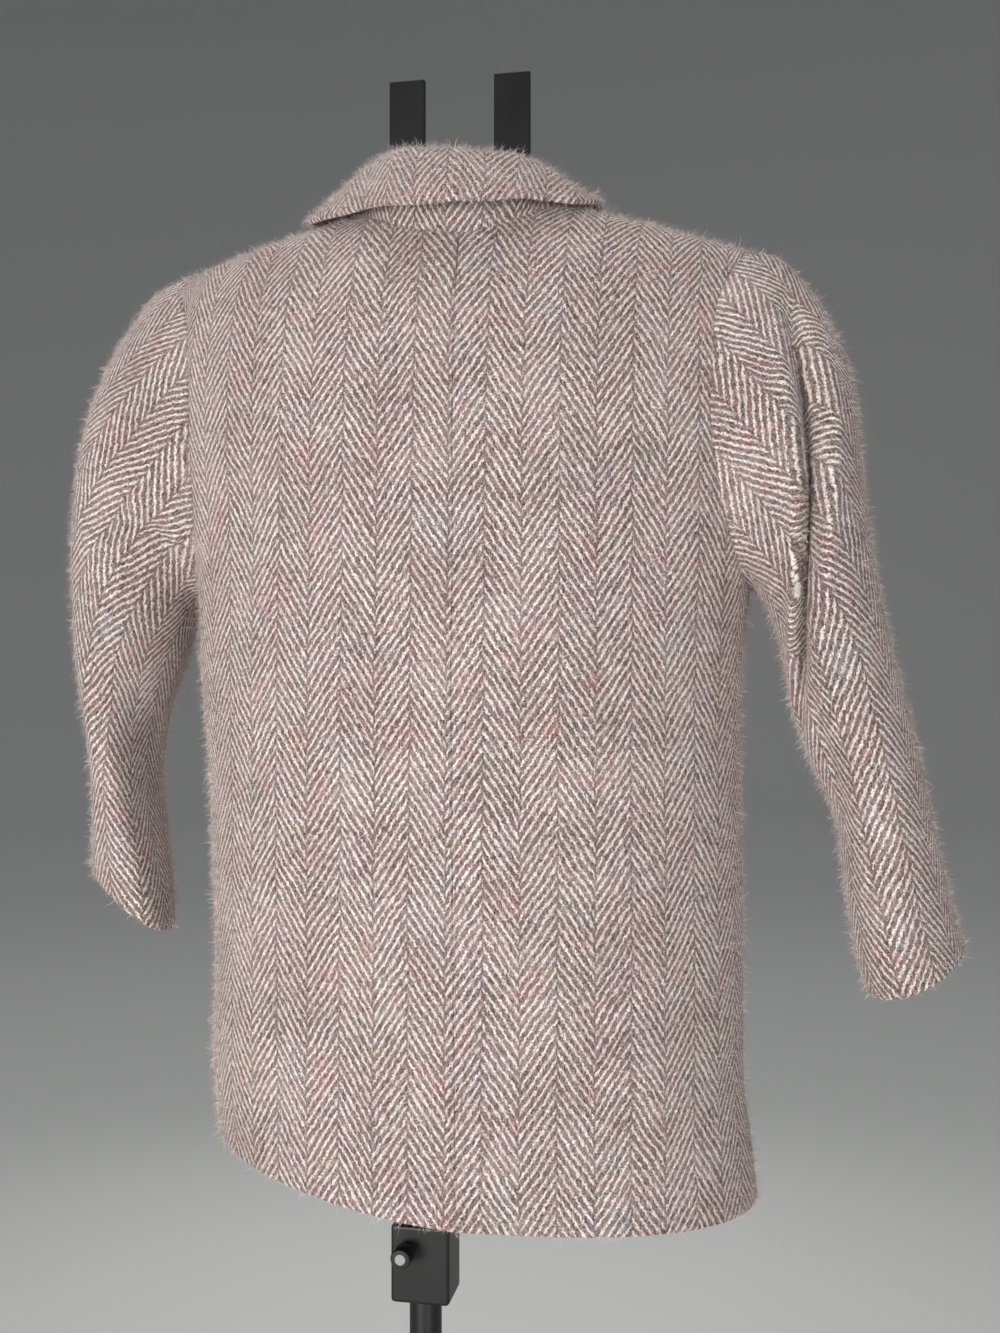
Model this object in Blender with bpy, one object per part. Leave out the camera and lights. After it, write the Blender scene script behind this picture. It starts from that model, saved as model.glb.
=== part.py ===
"""Pea coat, seen from its back, standing filled out on a plain display stand.

Metres, +Z up.  The stand's post is on the Z axis and its base rests on z = 0.
The coat's front faces -Y and its back +Y, so the wearer's left is +X.
Every cloth piece is a wall: a grid of points in the middle of the cloth,
moved half a thickness out and half a thickness in.  Seams are cut square to
the bisector of the two pieces that meet there and stay SEAM_GAP apart.
"""
import math

import bpy
import numpy as np

WALL = 0.003            # brushed wool with its lining
SEAM_GAP = 0.0004       # between two pieces sewn together
COAT_X = -0.033         # the coat's middle, seen from the stand's post

# stations up the body: hem, underarm, shoulder tip and neck
HEM, UNDERARM, TIP, NECK = 0.0, 6.0, 10.0, 12.0

TUCK = 0.0080           # the left front and its lapel lie this far under the right

BUTTON_RADIUS = 0.014
BUTTON_HEIGHT = 0.0042
BUTTON_X = 0.055
BUTTON_Z = (0.860, 0.975, 1.090)

# The body's size at each height: half widths, and how deep the back and the
# front are from the side seams.  Above the underarm the widths are those the
# body would have if the armholes were filled.
GIRTH_COLUMNS = ("height", "left", "right", "back", "front")
GIRTH_ROWS = (
    (0.700, 0.190, 0.220, 0.132, 0.138),
    (0.745, 0.192, 0.215, 0.132, 0.138),
    (0.800, 0.198, 0.209, 0.131, 0.138),
    (0.872, 0.196, 0.209, 0.130, 0.137),
    (0.950, 0.199, 0.208, 0.129, 0.136),
    (1.028, 0.203, 0.207, 0.127, 0.135),
    (1.097, 0.209, 0.208, 0.125, 0.133),
    (1.158, 0.212, 0.214, 0.122, 0.131),
    (1.210, 0.221, 0.219, 0.120, 0.130),
    (1.280, 0.236, 0.225, 0.118, 0.129),
    (1.480, 0.248, 0.228, 0.118, 0.128),
)

# Shoulder seam height against the distance from the middle.
RIDGE_COLUMNS = ("out", "left_z", "right_z")
RIDGE_ROWS = (
    (0.000, 1.469, 1.469),
    (0.088, 1.446, 1.445),
    (0.150, 1.431, 1.427),
    (0.190, 1.420, 1.414),
    (0.217, 1.413, 1.407),
    (0.240, 1.407, 1.401),
    (0.270, 1.399, 1.393),
)

# Edges of the back and front pieces at each station.  The side is the side
# seam up to the underarm, then the armhole, then the shoulder seam; the
# armhole's rows give its place, the others follow the two tables above.
BODY_COLUMNS = ("station", "seam_x", "back_z", "front_z", "left_x", "right_x", "left_z", "right_z")
BODY_ROWS = (
    (0.0, -0.021, 0.716, 0.708, 0.189, 0.220, 0.741, 0.706),
    (1.0, -0.020, 0.790, 0.790, 0.195, 0.209, 0.799, 0.790),
    (2.0, -0.019, 0.870, 0.870, 0.191, 0.209, 0.872, 0.870),
    (3.0, -0.018, 0.950, 0.950, 0.194, 0.208, 0.950, 0.950),
    (4.0, -0.017, 1.028, 1.028, 0.199, 0.207, 1.028, 1.028),
    (5.0, -0.016, 1.097, 1.095, 0.206, 0.208, 1.097, 1.097),
    (6.0, -0.016, 1.160, 1.156, 0.212, 0.214, 1.158, 1.158),
    (6.1, -0.016, 1.166, 1.162, 0.2118, 0.2135, 1.1595, 1.1595),
    (6.4, -0.016, 1.182, 1.178, 0.209, 0.209, 1.170, 1.170),
    (7.0, -0.016, 1.212, 1.208, 0.202, 0.199, 1.206, 1.206),
    (8.0, -0.015, 1.270, 1.258, 0.200, 0.189, 1.280, 1.280),
    (9.0, -0.015, 1.328, 1.303, 0.207, 0.192, 1.352, 1.352),
    (9.6, -0.014, 1.354, 1.326, 0.223, 0.204, 1.389, 1.389),
    (9.9, -0.014, 1.365, 1.338, 0.235, 0.2135, 1.4035, 1.4035),
    (10.0, -0.014, 1.369, 1.342, 0.240, 0.217, 1.407, 1.407),
    (11.0, -0.013, 1.391, 1.364, 0.166, 0.156, 1.427, 1.425),
    (12.0, -0.012, 1.410, 1.384, 0.088, 0.088, 1.446, 1.445),
)
HEM_SWING = 0.008               # the hem's rise between middle back and left side
ROUND_FROM = (1.250, 1.225)     # the back and front start to curve to the ridge

# Front edge from the hem to the break, then the roll line up to the neck,
# given as the distance past the middle (negative: short of the middle).
EDGE_COLUMNS = ("station", "past_middle")
EDGE_ROWS = (
    (0.0, 0.080), (5.0, 0.080), (6.3, 0.080), (7.0, 0.058), (8.0, 0.026),
    (9.0, -0.003), (10.0, -0.030), (11.0, -0.048), (12.0, -0.062),
)

# Lapel, out from the roll line: the stations of its inner and outer edge.
LAPEL_COLUMNS = ("row", "inner_station", "outer_station", "width")
LAPEL_ROWS = (
    (0.0, 6.3, 6.3, 0.004),
    (1.0, 7.0, 7.0, 0.080),
    (2.0, 8.0, 7.8, 0.109),
    (3.0, 9.0, 8.6, 0.122),
    (4.0, 10.1, 9.2, 0.108),
    (5.0, 11.3, 9.7, 0.082),
)

# Sleeve rings.  "out" is the point furthest from the body, "in" the point
# nearest to it, "back" half the ring's depth as an arrow toward the back.
SLEEVE_COLUMNS = ("ring", "out_x", "out_y", "out_z", "in_x", "in_y", "in_z",
                  "back_x", "back_y", "back_z")
LEFT_SLEEVE_ROWS = (
    (0.0, 0.240, 0.000, 1.407, 0.212, 0.000, 1.158, 0.000, 0.066, 0.000),
    (1.0, 0.255, 0.000, 1.400, 0.219, 0.000, 1.157, 0.000, 0.071, 0.000),
    (2.0, 0.273, -0.002, 1.380, 0.227, -0.002, 1.148, 0.000, 0.076, 0.000),
    (3.0, 0.292, -0.004, 1.345, 0.235, -0.004, 1.132, 0.000, 0.080, 0.000),
    (4.0, 0.306, -0.008, 1.300, 0.242, -0.008, 1.112, 0.000, 0.081, -0.002),
    (5.0, 0.317, -0.014, 1.243, 0.251, -0.012, 1.088, 0.000, 0.078, -0.004),
    (6.0, 0.324, -0.026, 1.183, 0.263, -0.018, 1.062, -0.001, 0.074, -0.006),
    (7.0, 0.325, -0.036, 1.118, 0.273, -0.024, 1.030, -0.002, 0.069, -0.008),
    (8.0, 0.322, -0.043, 1.057, 0.275, -0.026, 0.994, -0.005, 0.064, -0.010),
    (9.0, 0.325, -0.048, 1.000, 0.268, -0.026, 0.954, -0.006, 0.059, -0.009),
    (10.0, 0.332, -0.053, 0.955, 0.260, -0.024, 0.913, -0.006, 0.055, -0.003),
    (11.0, 0.336, -0.058, 0.932, 0.2560, -0.020, 0.884, -0.006, 0.052, 0.006),
)
RIGHT_SLEEVE_ROWS = (
    (0.0, -0.217, 0.000, 1.407, -0.214, 0.000, 1.158, 0.000, 0.066, 0.000),
    (1.0, -0.236, 0.000, 1.401, -0.2195, 0.000, 1.157, 0.000, 0.071, 0.000),
    (2.0, -0.255, 0.000, 1.380, -0.2265, 0.000, 1.148, 0.000, 0.076, 0.000),
    (3.0, -0.276, 0.000, 1.346, -0.233, 0.000, 1.132, 0.000, 0.080, 0.000),
    (4.0, -0.290, 0.000, 1.300, -0.239, 0.000, 1.112, 0.000, 0.081, -0.002),
    (5.0, -0.295, 0.000, 1.243, -0.245, 0.000, 1.085, 0.000, 0.079, -0.004),
    (6.0, -0.303, 0.000, 1.180, -0.254, 0.000, 1.052, 0.000, 0.075, -0.006),
    (7.0, -0.317, 0.000, 1.110, -0.270, 0.000, 1.014, 0.001, 0.069, -0.006),
    (8.0, -0.333, 0.000, 1.045, -0.281, 0.000, 0.975, 0.002, 0.065, -0.006),
    (9.0, -0.346, -0.002, 0.985, -0.285, 0.000, 0.938, 0.003, 0.062, -0.006),
    (10.0, -0.358, -0.004, 0.930, -0.292, 0.002, 0.894, 0.004, 0.060, -0.008),
    (11.0, -0.368, -0.006, 0.897, -0.300, 0.004, 0.868, 0.004, 0.058, -0.008),
)
LAST_RING = 11.0

# Large folds of the sleeves: the middle line of each in degrees round the
# sleeve (0 out, 90 back, 180 in), first and last ring, half width and depth.
FOLD_COLUMNS = ("round_deg", "drift_deg", "first", "last", "half_deg", "depth")
LEFT_FOLDS = (
    (150, -70, 1.2, 4.4, 16, -0.0070),
    (165, -70, 2.4, 5.8, 24, 0.0040),
    (75, 40, 4.4, 6.8, 26, -0.0030),
    (150, 0, 5.0, 8.0, 30, -0.0040),
)
RIGHT_FOLDS = (
    (36, 104, 1.9, 5.5, 17, -0.0110),
    (10, 104, 2.1, 5.6, 15, 0.0050),
    (66, 96, 2.0, 5.4, 20, 0.0045),
    (132, 0, 5.0, 7.8, 15, -0.0035),
    (156, 0, 5.2, 7.4, 24, 0.0050),
)

# Collar sections from the middle back (0) to the front end (1).  The fold is
# "rise" above the neck seam and "lean" out from it.  The leaf's outer edge
# lies over the body at a station and a turn round the neck (0 middle back,
# 1 shoulder seam, 2 middle front), lifted off it.
COLLAR_COLUMNS = ("along", "rise", "lean", "station", "round", "lift")
COLLAR_ROWS = (
    (0.00, 0.0580, -0.0080, 12.00, 0.00, 0.0290),
    (0.20, 0.0510, -0.0090, 11.88, 0.40, 0.0185),
    (0.30, 0.0430, -0.0100, 11.76, 0.53, 0.0130),
    (0.40, 0.0330, -0.0105, 11.60, 0.66, 0.0095),
    (0.50, 0.0210, -0.0110, 11.56, 0.83, 0.0075),
    (0.60, 0.0130, -0.0080, 11.66, 1.00, 0.0068),
    (0.80, 0.0090, -0.0010, 11.15, 1.42, 0.0060),
    (1.00, 0.0070, 0.0020, 10.65, 1.58, 0.0058),
)
COLLAR_LEAN = 0.13      # the collar stands a little higher on the left
LEAF_SHIFT = 0.11       # and its leaf reaches further down the left shoulder

BASE_RADIUS = 0.170
BASE_HEIGHT = 0.010
POST_RADIUS = 0.0125
CLAMP_WIDTH = 0.046
CLAMP_HEIGHT = 0.060
CLAMP_TOP = 0.672
KNOB_RADIUS = 0.008
FORM_CLEAR = 0.012      # between the form and the cloth away from the shoulders
FORM_SEAT = 0.0014      # on the shoulders, where the coat rests
BAR_WIDTH = 0.028
BAR_DEPTH = 0.006
BAR_X = (0.0475, -0.0355)
BAR_TOP = 1.556


def smooth(share):
    """A soft step from 0 to 1."""
    share = np.clip(share, 0, 1)
    return share * share * (3 - 2 * share)


def interpolate(columns, rows, at):
    """Each column of the table at the places asked for, as smooth curves that
    don't swing past the rows (monotone cubic pieces)."""
    data = np.array(rows, dtype=float)
    x = data[:, 0]
    step = np.diff(x)
    at = np.clip(np.asarray(at, dtype=float), x[0], x[-1])
    found = {columns[0]: at}
    cell = np.clip(np.searchsorted(x, at, side="right") - 1, 0, len(x) - 2)
    part = (at - x[cell]) / step[cell]
    for number, name in enumerate(columns[1:], start=1):
        y = data[:, number]
        slope = np.diff(y) / step
        lean = np.zeros(len(x))
        both = slope[:-1] * slope[1:] > 0
        before = 2 * step[1:] + step[:-1]
        after = step[1:] + 2 * step[:-1]
        safe_a = np.where(both, slope[:-1], 1)
        safe_b = np.where(both, slope[1:], 1)
        mean = (before + after) / (before / safe_a + after / safe_b)
        lean[1:-1] = np.where(both, mean, 0.0)
        lean[0] = slope[0]
        lean[-1] = slope[-1]
        h = step[cell]
        p = part
        found[name] = (y[cell] * (2 * p**3 - 3 * p**2 + 1)
                       + h * lean[cell] * (p**3 - 2 * p**2 + p)
                       + y[cell + 1] * (3 * p**2 - 2 * p**3)
                       + h * lean[cell + 1] * (p**3 - p**2))
    return found


def unit(vectors):
    """Vectors made one long, along the last axis."""
    size = np.linalg.norm(vectors, axis=-1, keepdims=True)
    return vectors / np.maximum(size, 1e-12)


def bezier(a, b, c, d, t):
    """A point on the cubic curve with the four control values."""
    s = 1 - t
    return a * s**3 + 3 * b * s**2 * t + 3 * c * s * t**2 + d * t**3


def depth_squared(face, side, across, z):
    """How far the back or front stands from the side seams, squared: an oval
    of the body's size at that height, rounded over toward the shoulder ridge."""
    girth = "left" if side > 0 else "right"
    size = interpolate(GIRTH_COLUMNS, GIRTH_ROWS, z)
    oval = 1 - np.abs(across / size[girth]) ** 2.3
    low = ROUND_FROM[0] if face == "back" else ROUND_FROM[1]
    height = interpolate(RIDGE_COLUMNS, RIDGE_ROWS, np.abs(across))[girth + "_z"]
    rounded = 1 - np.clip((z - low) / (height - low), 0, 1.2) ** 2.2
    return size[face] ** 2 * np.maximum(oval, -0.2) * np.maximum(rounded, -0.2)


def body_point(face, side, station, t):
    """A point of the body in the middle of the cloth.  face is 'back' or
    'front', side is +1 left or -1 right, t runs from the middle (0) to the
    side seam, armhole or shoulder seam (1)."""
    station, t = np.broadcast_arrays(np.asarray(station, float), np.asarray(t, float))
    b = interpolate(BODY_COLUMNS, BODY_ROWS, station)
    word = "left" if side > 0 else "right"
    out_z = b[word + "_z"]
    seam = interpolate(GIRTH_COLUMNS, GIRTH_ROWS, out_z)[word]
    out_x = np.where(station <= UNDERARM, seam, b[word + "_x"])
    top = interpolate(RIDGE_COLUMNS, RIDGE_ROWS, out_x)[word + "_z"]
    out_z = np.where(station >= TIP, top, out_z)
    mid_x = side * b["seam_x"] if face == "back" else 0.0 * out_x
    mid_z = b["back_z"] if face == "back" else b["front_z"]
    even = 0.45 * smooth((station - UNDERARM) / 2.5)
    share = (1 - even) * np.sin(t * math.pi / 2) + even * t
    across = mid_x + (out_x - mid_x) * share
    z = mid_z + (out_z - mid_z) * smooth(t)
    if face == "back" and side > 0:
        z = z + HEM_SWING * np.sin(math.pi * t) * smooth(1 - station / 1.5)
    deep = np.sqrt(np.maximum(depth_squared(face, side, across, z), 0))
    deep = np.where((t >= 1) & ((station <= UNDERARM) | (station >= TIP)), 0.0, deep)
    return np.stack([side * across, deep if face == "back" else -deep, z], axis=-1)


def body_normal(face, side, points):
    """Outward unit normals of the body at points on it."""
    across, z = side * points[..., 0], points[..., 2]
    e = 0.0005
    by_x = (depth_squared(face, side, across + e, z)
            - depth_squared(face, side, across - e, z)) / (2 * e)
    by_z = (depth_squared(face, side, across, z + e)
            - depth_squared(face, side, across, z - e)) / (2 * e)
    return unit(np.stack([-side * by_x, 2 * points[..., 1], -by_z], axis=-1))


def front_t(side, station, x):
    """Where along a front's section the cloth reaches the distance x from the
    middle, measured toward the front's own side."""
    t = np.linspace(0, 1, 81)
    found = np.empty(len(station))
    for n, s in enumerate(station):
        across = side * body_point("front", side, np.full(81, s), t)[:, 0]
        found[n] = np.interp(abs(x[n]), across, t) * np.sign(x[n])
    return found


def front_point(side, station, t):
    """A front's point, also past the middle, where t is negative.  The left
    front is tucked under the right one around the middle."""
    station, t = np.broadcast_arrays(np.asarray(station, float), np.asarray(t, float))
    own = body_point("front", side, station, np.abs(t))
    other = body_point("front", -side, station, np.abs(t))
    point = np.where((t < 0)[..., None], other, own)
    if side > 0:
        level = smooth((0.150 - point[..., 0]) / 0.058) * smooth((TIP - station) / 0.9)
        point[..., 1] += TUCK * level
    return point


def grid_normals(grid, around=False):
    """Outward unit normals of a grid of points from its own slopes."""
    if around:
        wide = np.concatenate([grid[:, -1:], grid, grid[:, :1]], axis=1)
        across = (wide[:, 2:] - wide[:, :-2])
    else:
        across = np.gradient(grid, axis=1)
    along = np.gradient(grid, axis=0)
    return unit(np.cross(across, along))


def material(name, colour, rough, metal):
    """A plain surface of one colour."""
    made = bpy.data.materials.new(name)
    made.use_nodes = True
    shader = made.node_tree.nodes["Principled BSDF"]
    shader.inputs["Base Color"].default_value = (*colour, 1.0)
    shader.inputs["Roughness"].default_value = rough
    shader.inputs["Metallic"].default_value = metal
    made.diffuse_color = (*colour, 1.0)
    return made


def new_object(name, points, faces, look, parent=None, smooth=True):
    """One named solid from points and faces."""
    mesh = bpy.data.meshes.new(name)
    mesh.from_pydata([tuple(p) for p in points], [], faces)
    mesh.materials.append(look)
    if smooth:
        mesh.shade_smooth()
        mesh.set_sharp_from_angle(angle=math.radians(50))
    mesh.update()
    made = bpy.data.objects.new(name, mesh)
    bpy.context.collection.objects.link(made)
    made.parent = parent
    return made


def wall(name, grid, arrows, look, parent, around=False):
    """A closed wall: the grid moved by +arrow outward and by -arrow inward,
    with a strip of faces along each open edge."""
    rows, cols = grid.shape[:2]
    turn = np.cross(np.gradient(grid, axis=1), np.gradient(grid, axis=0))
    if np.sum(turn[:, 1:-1] * arrows[:, 1:-1]) < 0:
        grid, arrows = grid[:, ::-1], arrows[:, ::-1]
    outer = (grid + arrows).reshape(-1, 3)
    inner = (grid - arrows).reshape(-1, 3)
    points = np.concatenate([outer, inner])
    shift = rows * cols
    faces = []
    last = cols if around else cols - 1
    for r in range(rows - 1):
        for c in range(last):
            d = (c + 1) % cols
            a0, a1 = r * cols + c, r * cols + d
            b0, b1 = (r + 1) * cols + c, (r + 1) * cols + d
            faces.append((a0, a1, b1, b0))
            faces.append((shift + a0, shift + b0, shift + b1, shift + a1))
    for c in range(last):
        d = (c + 1) % cols
        top = (rows - 1) * cols
        faces.append((c, shift + c, shift + d, d))
        faces.append((top + c, top + d, shift + top + d, shift + top + c))
    if not around:
        for r in range(rows - 1):
            a, b = r * cols, (r + 1) * cols
            faces.append((a, b, shift + b, shift + a))
            a, b = a + cols - 1, b + cols - 1
            faces.append((a, shift + a, shift + b, b))
    halves = []
    for a, b, c, d in faces:
        if np.linalg.norm(points[a] - points[c]) <= np.linalg.norm(points[b] - points[d]):
            halves += [(a, b, c), (a, c, d)]
        else:
            halves += [(a, b, d), (b, c, d)]
    return new_object(name, points, halves, look, parent)


def set_back(grid, arrows, edge, gap):
    """Moves one edge of a grid into its own piece by half the seam gap, square
    to the cut, so that the neighbour's edge stays clear."""
    line, inside, cut = {
        "first_row": (grid[0], grid[1], arrows[0]),
        "last_row": (grid[-1], grid[-2], arrows[-1]),
        "first_col": (grid[:, 0], grid[:, 1], arrows[:, 0]),
        "last_col": (grid[:, -1], grid[:, -2], arrows[:, -1]),
    }[edge]
    along = np.gradient(line, axis=0)
    square = unit(np.cross(cut, along))
    square *= np.sign(np.sum(square * (inside - line), axis=-1, keepdims=True))
    return square * gap / 2


def seam_arrows(first, second):
    """Half-thickness arrows along the bisector of two pieces' normals, longer
    where the pieces meet at an angle."""
    middle = unit(first + second)
    share = np.maximum(np.sum(middle * first, axis=-1, keepdims=True), 0.55)
    return middle * (WALL / 2) / share


# ---------------------------------------------------------------- the scene
for old in list(bpy.data.objects):
    bpy.data.objects.remove(old, do_unlink=True)

coat = bpy.data.objects.new("coat", None)
coat.location = (COAT_X, 0.0, 0.0)
bpy.context.collection.objects.link(coat)

wool = material("wool_cloth", (0.58, 0.40, 0.41), 0.95, 0.0)
wool_dark = material("wool_collar", (0.54, 0.37, 0.38), 0.95, 0.0)
horn = material("button_resin", (0.20, 0.11, 0.11), 0.35, 0.0)
black = material("black_steel", (0.02, 0.02, 0.022), 0.45, 0.6)
shell = material("black_form", (0.03, 0.03, 0.032), 0.55, 0.0)

LOW = np.linspace(HEM, UNDERARM, 11)
ARM = np.array([6.0, 6.12, 6.27, 6.45, 6.7, 7.0, 7.35, 7.7, 8.1, 8.5, 8.85, 9.15, 9.4, 9.62,
                9.8, 9.92, 10.0])
TOP = np.array([10.0, 10.5, 11.0, 11.5, 12.0])
STATIONS = np.concatenate([LOW, ARM[1:], TOP[1:]])
AT_UNDERARM = len(LOW) - 1
AT_TIP = AT_UNDERARM + len(ARM) - 1


def sleeve_loop(side):
    """The armhole's points, from the tip down the back to the underarm and up
    the front, and the sleeve angle that belongs to each."""
    down = ARM[::-1]
    back = body_point("back", side, down, np.ones(len(down)))
    front = body_point("front", side, ARM, np.ones(len(ARM)))
    loop = np.concatenate([back, front[1:-1]])
    closed = np.concatenate([loop, loop[:1]])
    length = np.concatenate([[0], np.cumsum(np.linalg.norm(np.diff(closed, axis=0), axis=1))])
    half = length[len(back) - 1]
    angle = np.where(length[:-1] <= half, 180 * length[:-1] / half,
                     180 + 180 * (length[:-1] - half) / (length[-1] - half))
    return loop, np.radians(angle)


def sleeve_grid(side, rings):
    """A sleeve's rings.  Each is the oval of its row, and near the armhole the
    armhole's own shape is blended in.  Folds move the cloth in or out."""
    rows = LEFT_SLEEVE_ROWS if side > 0 else RIGHT_SLEEVE_ROWS
    folds = LEFT_FOLDS if side > 0 else RIGHT_FOLDS
    loop, angle = sleeve_loop(side)
    s = interpolate(SLEEVE_COLUMNS, rows, rings)
    out = np.stack([s["out_x"], s["out_y"], s["out_z"]], -1)
    near = np.stack([s["in_x"], s["in_y"], s["in_z"]], -1)
    back = np.stack([s["back_x"], s["back_y"], s["back_z"]], -1)
    middle, reach = (out + near) / 2, (out - near) / 2
    oval = (middle[:, None] + reach[:, None] * np.cos(angle)[None, :, None]
            + back[:, None] * np.sin(angle)[None, :, None])
    start = loop - oval[0]
    blend = smooth(1 - rings / 4.5)[:, None, None]
    grid = oval + blend * start[None]
    outward = unit(grid - middle[:, None])
    degrees = np.degrees(angle)
    for row in folds:
        f = dict(zip(FOLD_COLUMNS, row))
        share = (rings - f["first"]) / (f["last"] - f["first"])
        rise = np.where((share > 0) & (share < 1), np.sin(np.pi * np.clip(share, 0, 1)) ** 0.8, 0)
        centre = f["round_deg"] + f["drift_deg"] * share
        away = (degrees[None] - centre[:, None] + 180) % 360 - 180
        bump = np.exp(-(away / f["half_deg"]) ** 2)
        grid = grid + outward * (f["depth"] * rise[:, None] * bump)[..., None]
    return grid


BACK_T = np.linspace(0, 1, 12)
FRONT_SHARE = np.linspace(0, 1, 13)
RINGS = np.concatenate([[0, 0.35], np.linspace(0.8, LAST_RING, 16)])


def panel_grid(face, side):
    """The grid of a back or a front, from the middle to the side seam."""
    if face == "back":
        return body_point("back", side, STATIONS[:, None], BACK_T[None, :])
    edge = interpolate(EDGE_COLUMNS, EDGE_ROWS, STATIONS)["past_middle"]
    start = front_t(side, STATIONS, -edge)
    t = start[:, None] + (1 - start[:, None]) * FRONT_SHARE[None, :]
    return front_point(side, np.broadcast_to(STATIONS[:, None], t.shape), t)


panels = {}
for side in (1, -1):
    for face in ("back", "front"):
        grid = panel_grid(face, side)
        panels[face, side] = (grid, body_normal(face, side, grid))

sleeves = {}
for side in (1, -1):
    grid = sleeve_grid(side, RINGS)
    found = -side * grid_normals(grid, around=True)
    sleeves[side] = (grid, found)


HALF = WALL / 2


def loop_arrows(side):
    """Arrows at the armhole, shared by the two panels and the sleeve, in the
    order of the sleeve's own points."""
    count = len(ARM)
    back = panels["back", side][1][AT_UNDERARM:AT_TIP + 1, -1][::-1]
    front = panels["front", side][1][AT_UNDERARM:AT_TIP + 1, -1]
    body = np.concatenate([back, front[1:-1]])
    body[0] = unit(back[0] + front[-1])
    body[count - 1] = unit(back[-1] + front[0])
    return seam_arrows(body, sleeves[side][1][0])


collar_along = {}
neck_rows = {}
for side in (1, -1):
    back_row = panels["back", side][0][-1]
    front_row = panels["front", side][0][-1][::-1]
    row = np.concatenate([back_row, front_row[1:]])
    length = np.concatenate([[0], np.cumsum(np.linalg.norm(np.diff(row, axis=0), axis=1))])
    neck_rows[side] = row
    collar_along[side] = length / length[-1]


def collar_lines(side, along):
    """The collar's fold and its leaf's outer edge on one side."""
    c = interpolate(COLLAR_COLUMNS, COLLAR_ROWS, along)
    seam = np.stack([np.interp(along, collar_along[side], neck_rows[side][:, n])
                     for n in range(3)], axis=-1)
    out = seam * (1, 1, 0) + (0.0, 0.010, 0.0)
    fold = seam + unit(out) * c["lean"][:, None]
    fold[:, 2] += c["rise"] + COLLAR_LEAN * fold[:, 0] * smooth((0.9 - along) / 0.5)
    edge = np.empty_like(fold)
    for face in ("back", "front"):
        here = (c["round"] <= 1) == (face == "back")
        t = np.where(face == "back", c["round"], 2 - c["round"])
        station = c["station"] - side * LEAF_SHIFT * smooth((along - 0.35) / 0.25)
        base = body_point(face, side, station, np.clip(t, 0, 1))
        base = base + body_normal(face, side, base) * c["lift"][:, None]
        edge[here] = base[here]
    return fold, edge


def both_sides(function):
    """Right and left sections of the collar in one run, front to front."""
    right = function(-1)[:, ::-1]
    left = function(1)
    return np.concatenate([right, left[:, 1:]], axis=1)


STAND_SHARE = np.linspace(0, 1, 4)[:, None, None]


def stand_side(side):
    """The collar stand: from the neck seam up to the fold."""
    fold, _ = collar_lines(side, collar_along[side])
    low = neck_rows[side][None]
    return low + (fold[None] - low) * STAND_SHARE


stand = both_sides(stand_side)
stand_normals = grid_normals(stand)
middle = stand.shape[1] // 2
if stand_normals[1, middle, 1] < 0:
    stand_normals = -stand_normals
stand_arrows = stand_normals * HALF

# Arrows of the neck seam, shared by the stand and the four panels.
neck_panel = {}
for side in (1, -1):
    back = panels["back", side][1][-1]
    front = panels["front", side][1][-1][::-1]
    joined = np.concatenate([back, front[1:]])
    joined[len(back) - 1] = unit(back[-1] + front[0])
    neck_panel[side] = joined
neck_normals = np.concatenate([neck_panel[-1][::-1], neck_panel[1][1:]])
neck_normals[middle] = unit(neck_panel[-1][0] + neck_panel[1][0])
neck_arrows = seam_arrows(neck_normals, stand_normals[0])
stand_arrows[0] = neck_arrows
stand_arrows[-1] = unit(stand_arrows[-1] * (1, 1, 0)) * HALF
neck_of = {-1: neck_arrows[:middle + 1][::-1], 1: neck_arrows[middle:]}

edges_all = {}
for side in (1, -1):
    arms = loop_arrows(side)
    count = len(ARM)
    for face in ("back", "front"):
        grid, normals = panels[face, side]
        arrows = normals * HALF
        other = panels["front" if face == "back" else "back", side][1]
        arrows[:, -1] = seam_arrows(normals[:, -1], other[:, -1])
        if face == "back":
            twin = panels["back", -side][1][:, 0]
            arrows[:, 0] = seam_arrows(normals[:, 0], twin)
            arrows[AT_UNDERARM:AT_TIP + 1, -1] = arms[:count][::-1]
            arrows[-1] = neck_of[side][:len(BACK_T)]
        else:
            upper = np.concatenate([arms[count - 1:], arms[:1]])
            arrows[AT_UNDERARM:AT_TIP + 1, -1] = upper
            arrows[-1] = neck_of[side][len(BACK_T) - 1:][::-1]
        moved = grid.copy()
        moved[:, -1] += set_back(grid, arrows, "last_col", SEAM_GAP)
        moved[-1] += set_back(grid, arrows, "last_row", SEAM_GAP)
        if face == "back":
            moved[:, 0] += set_back(grid, arrows, "first_col", SEAM_GAP)
        word = "left" if side > 0 else "right"
        wall(face + "_" + word, moved, arrows, wool, coat)
    grid, normals = sleeves[side]
    arrows = normals * HALF
    arrows[0] = arms
    moved = grid.copy()
    closed_line = np.concatenate([grid[:, -1:], grid, grid[:, :1]], axis=1)
    closed_arrows = np.concatenate([arrows[:, -1:], arrows, arrows[:, :1]], axis=1)
    moved[0] += set_back(closed_line, closed_arrows, "first_row", SEAM_GAP)[1:-1]
    wall("sleeve_" + word, moved, arrows, wool, coat, around=True)

moved = stand.copy()
moved[0] += set_back(stand, stand_arrows, "first_row", SEAM_GAP)
wall("collar_stand", moved, stand_arrows, wool_dark, coat)

LEAF_HALF = 0.0025
LEAF_SHARE = np.array([0.0, 0.10, 0.24, 0.42, 0.62, 0.82, 1.0])


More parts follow.
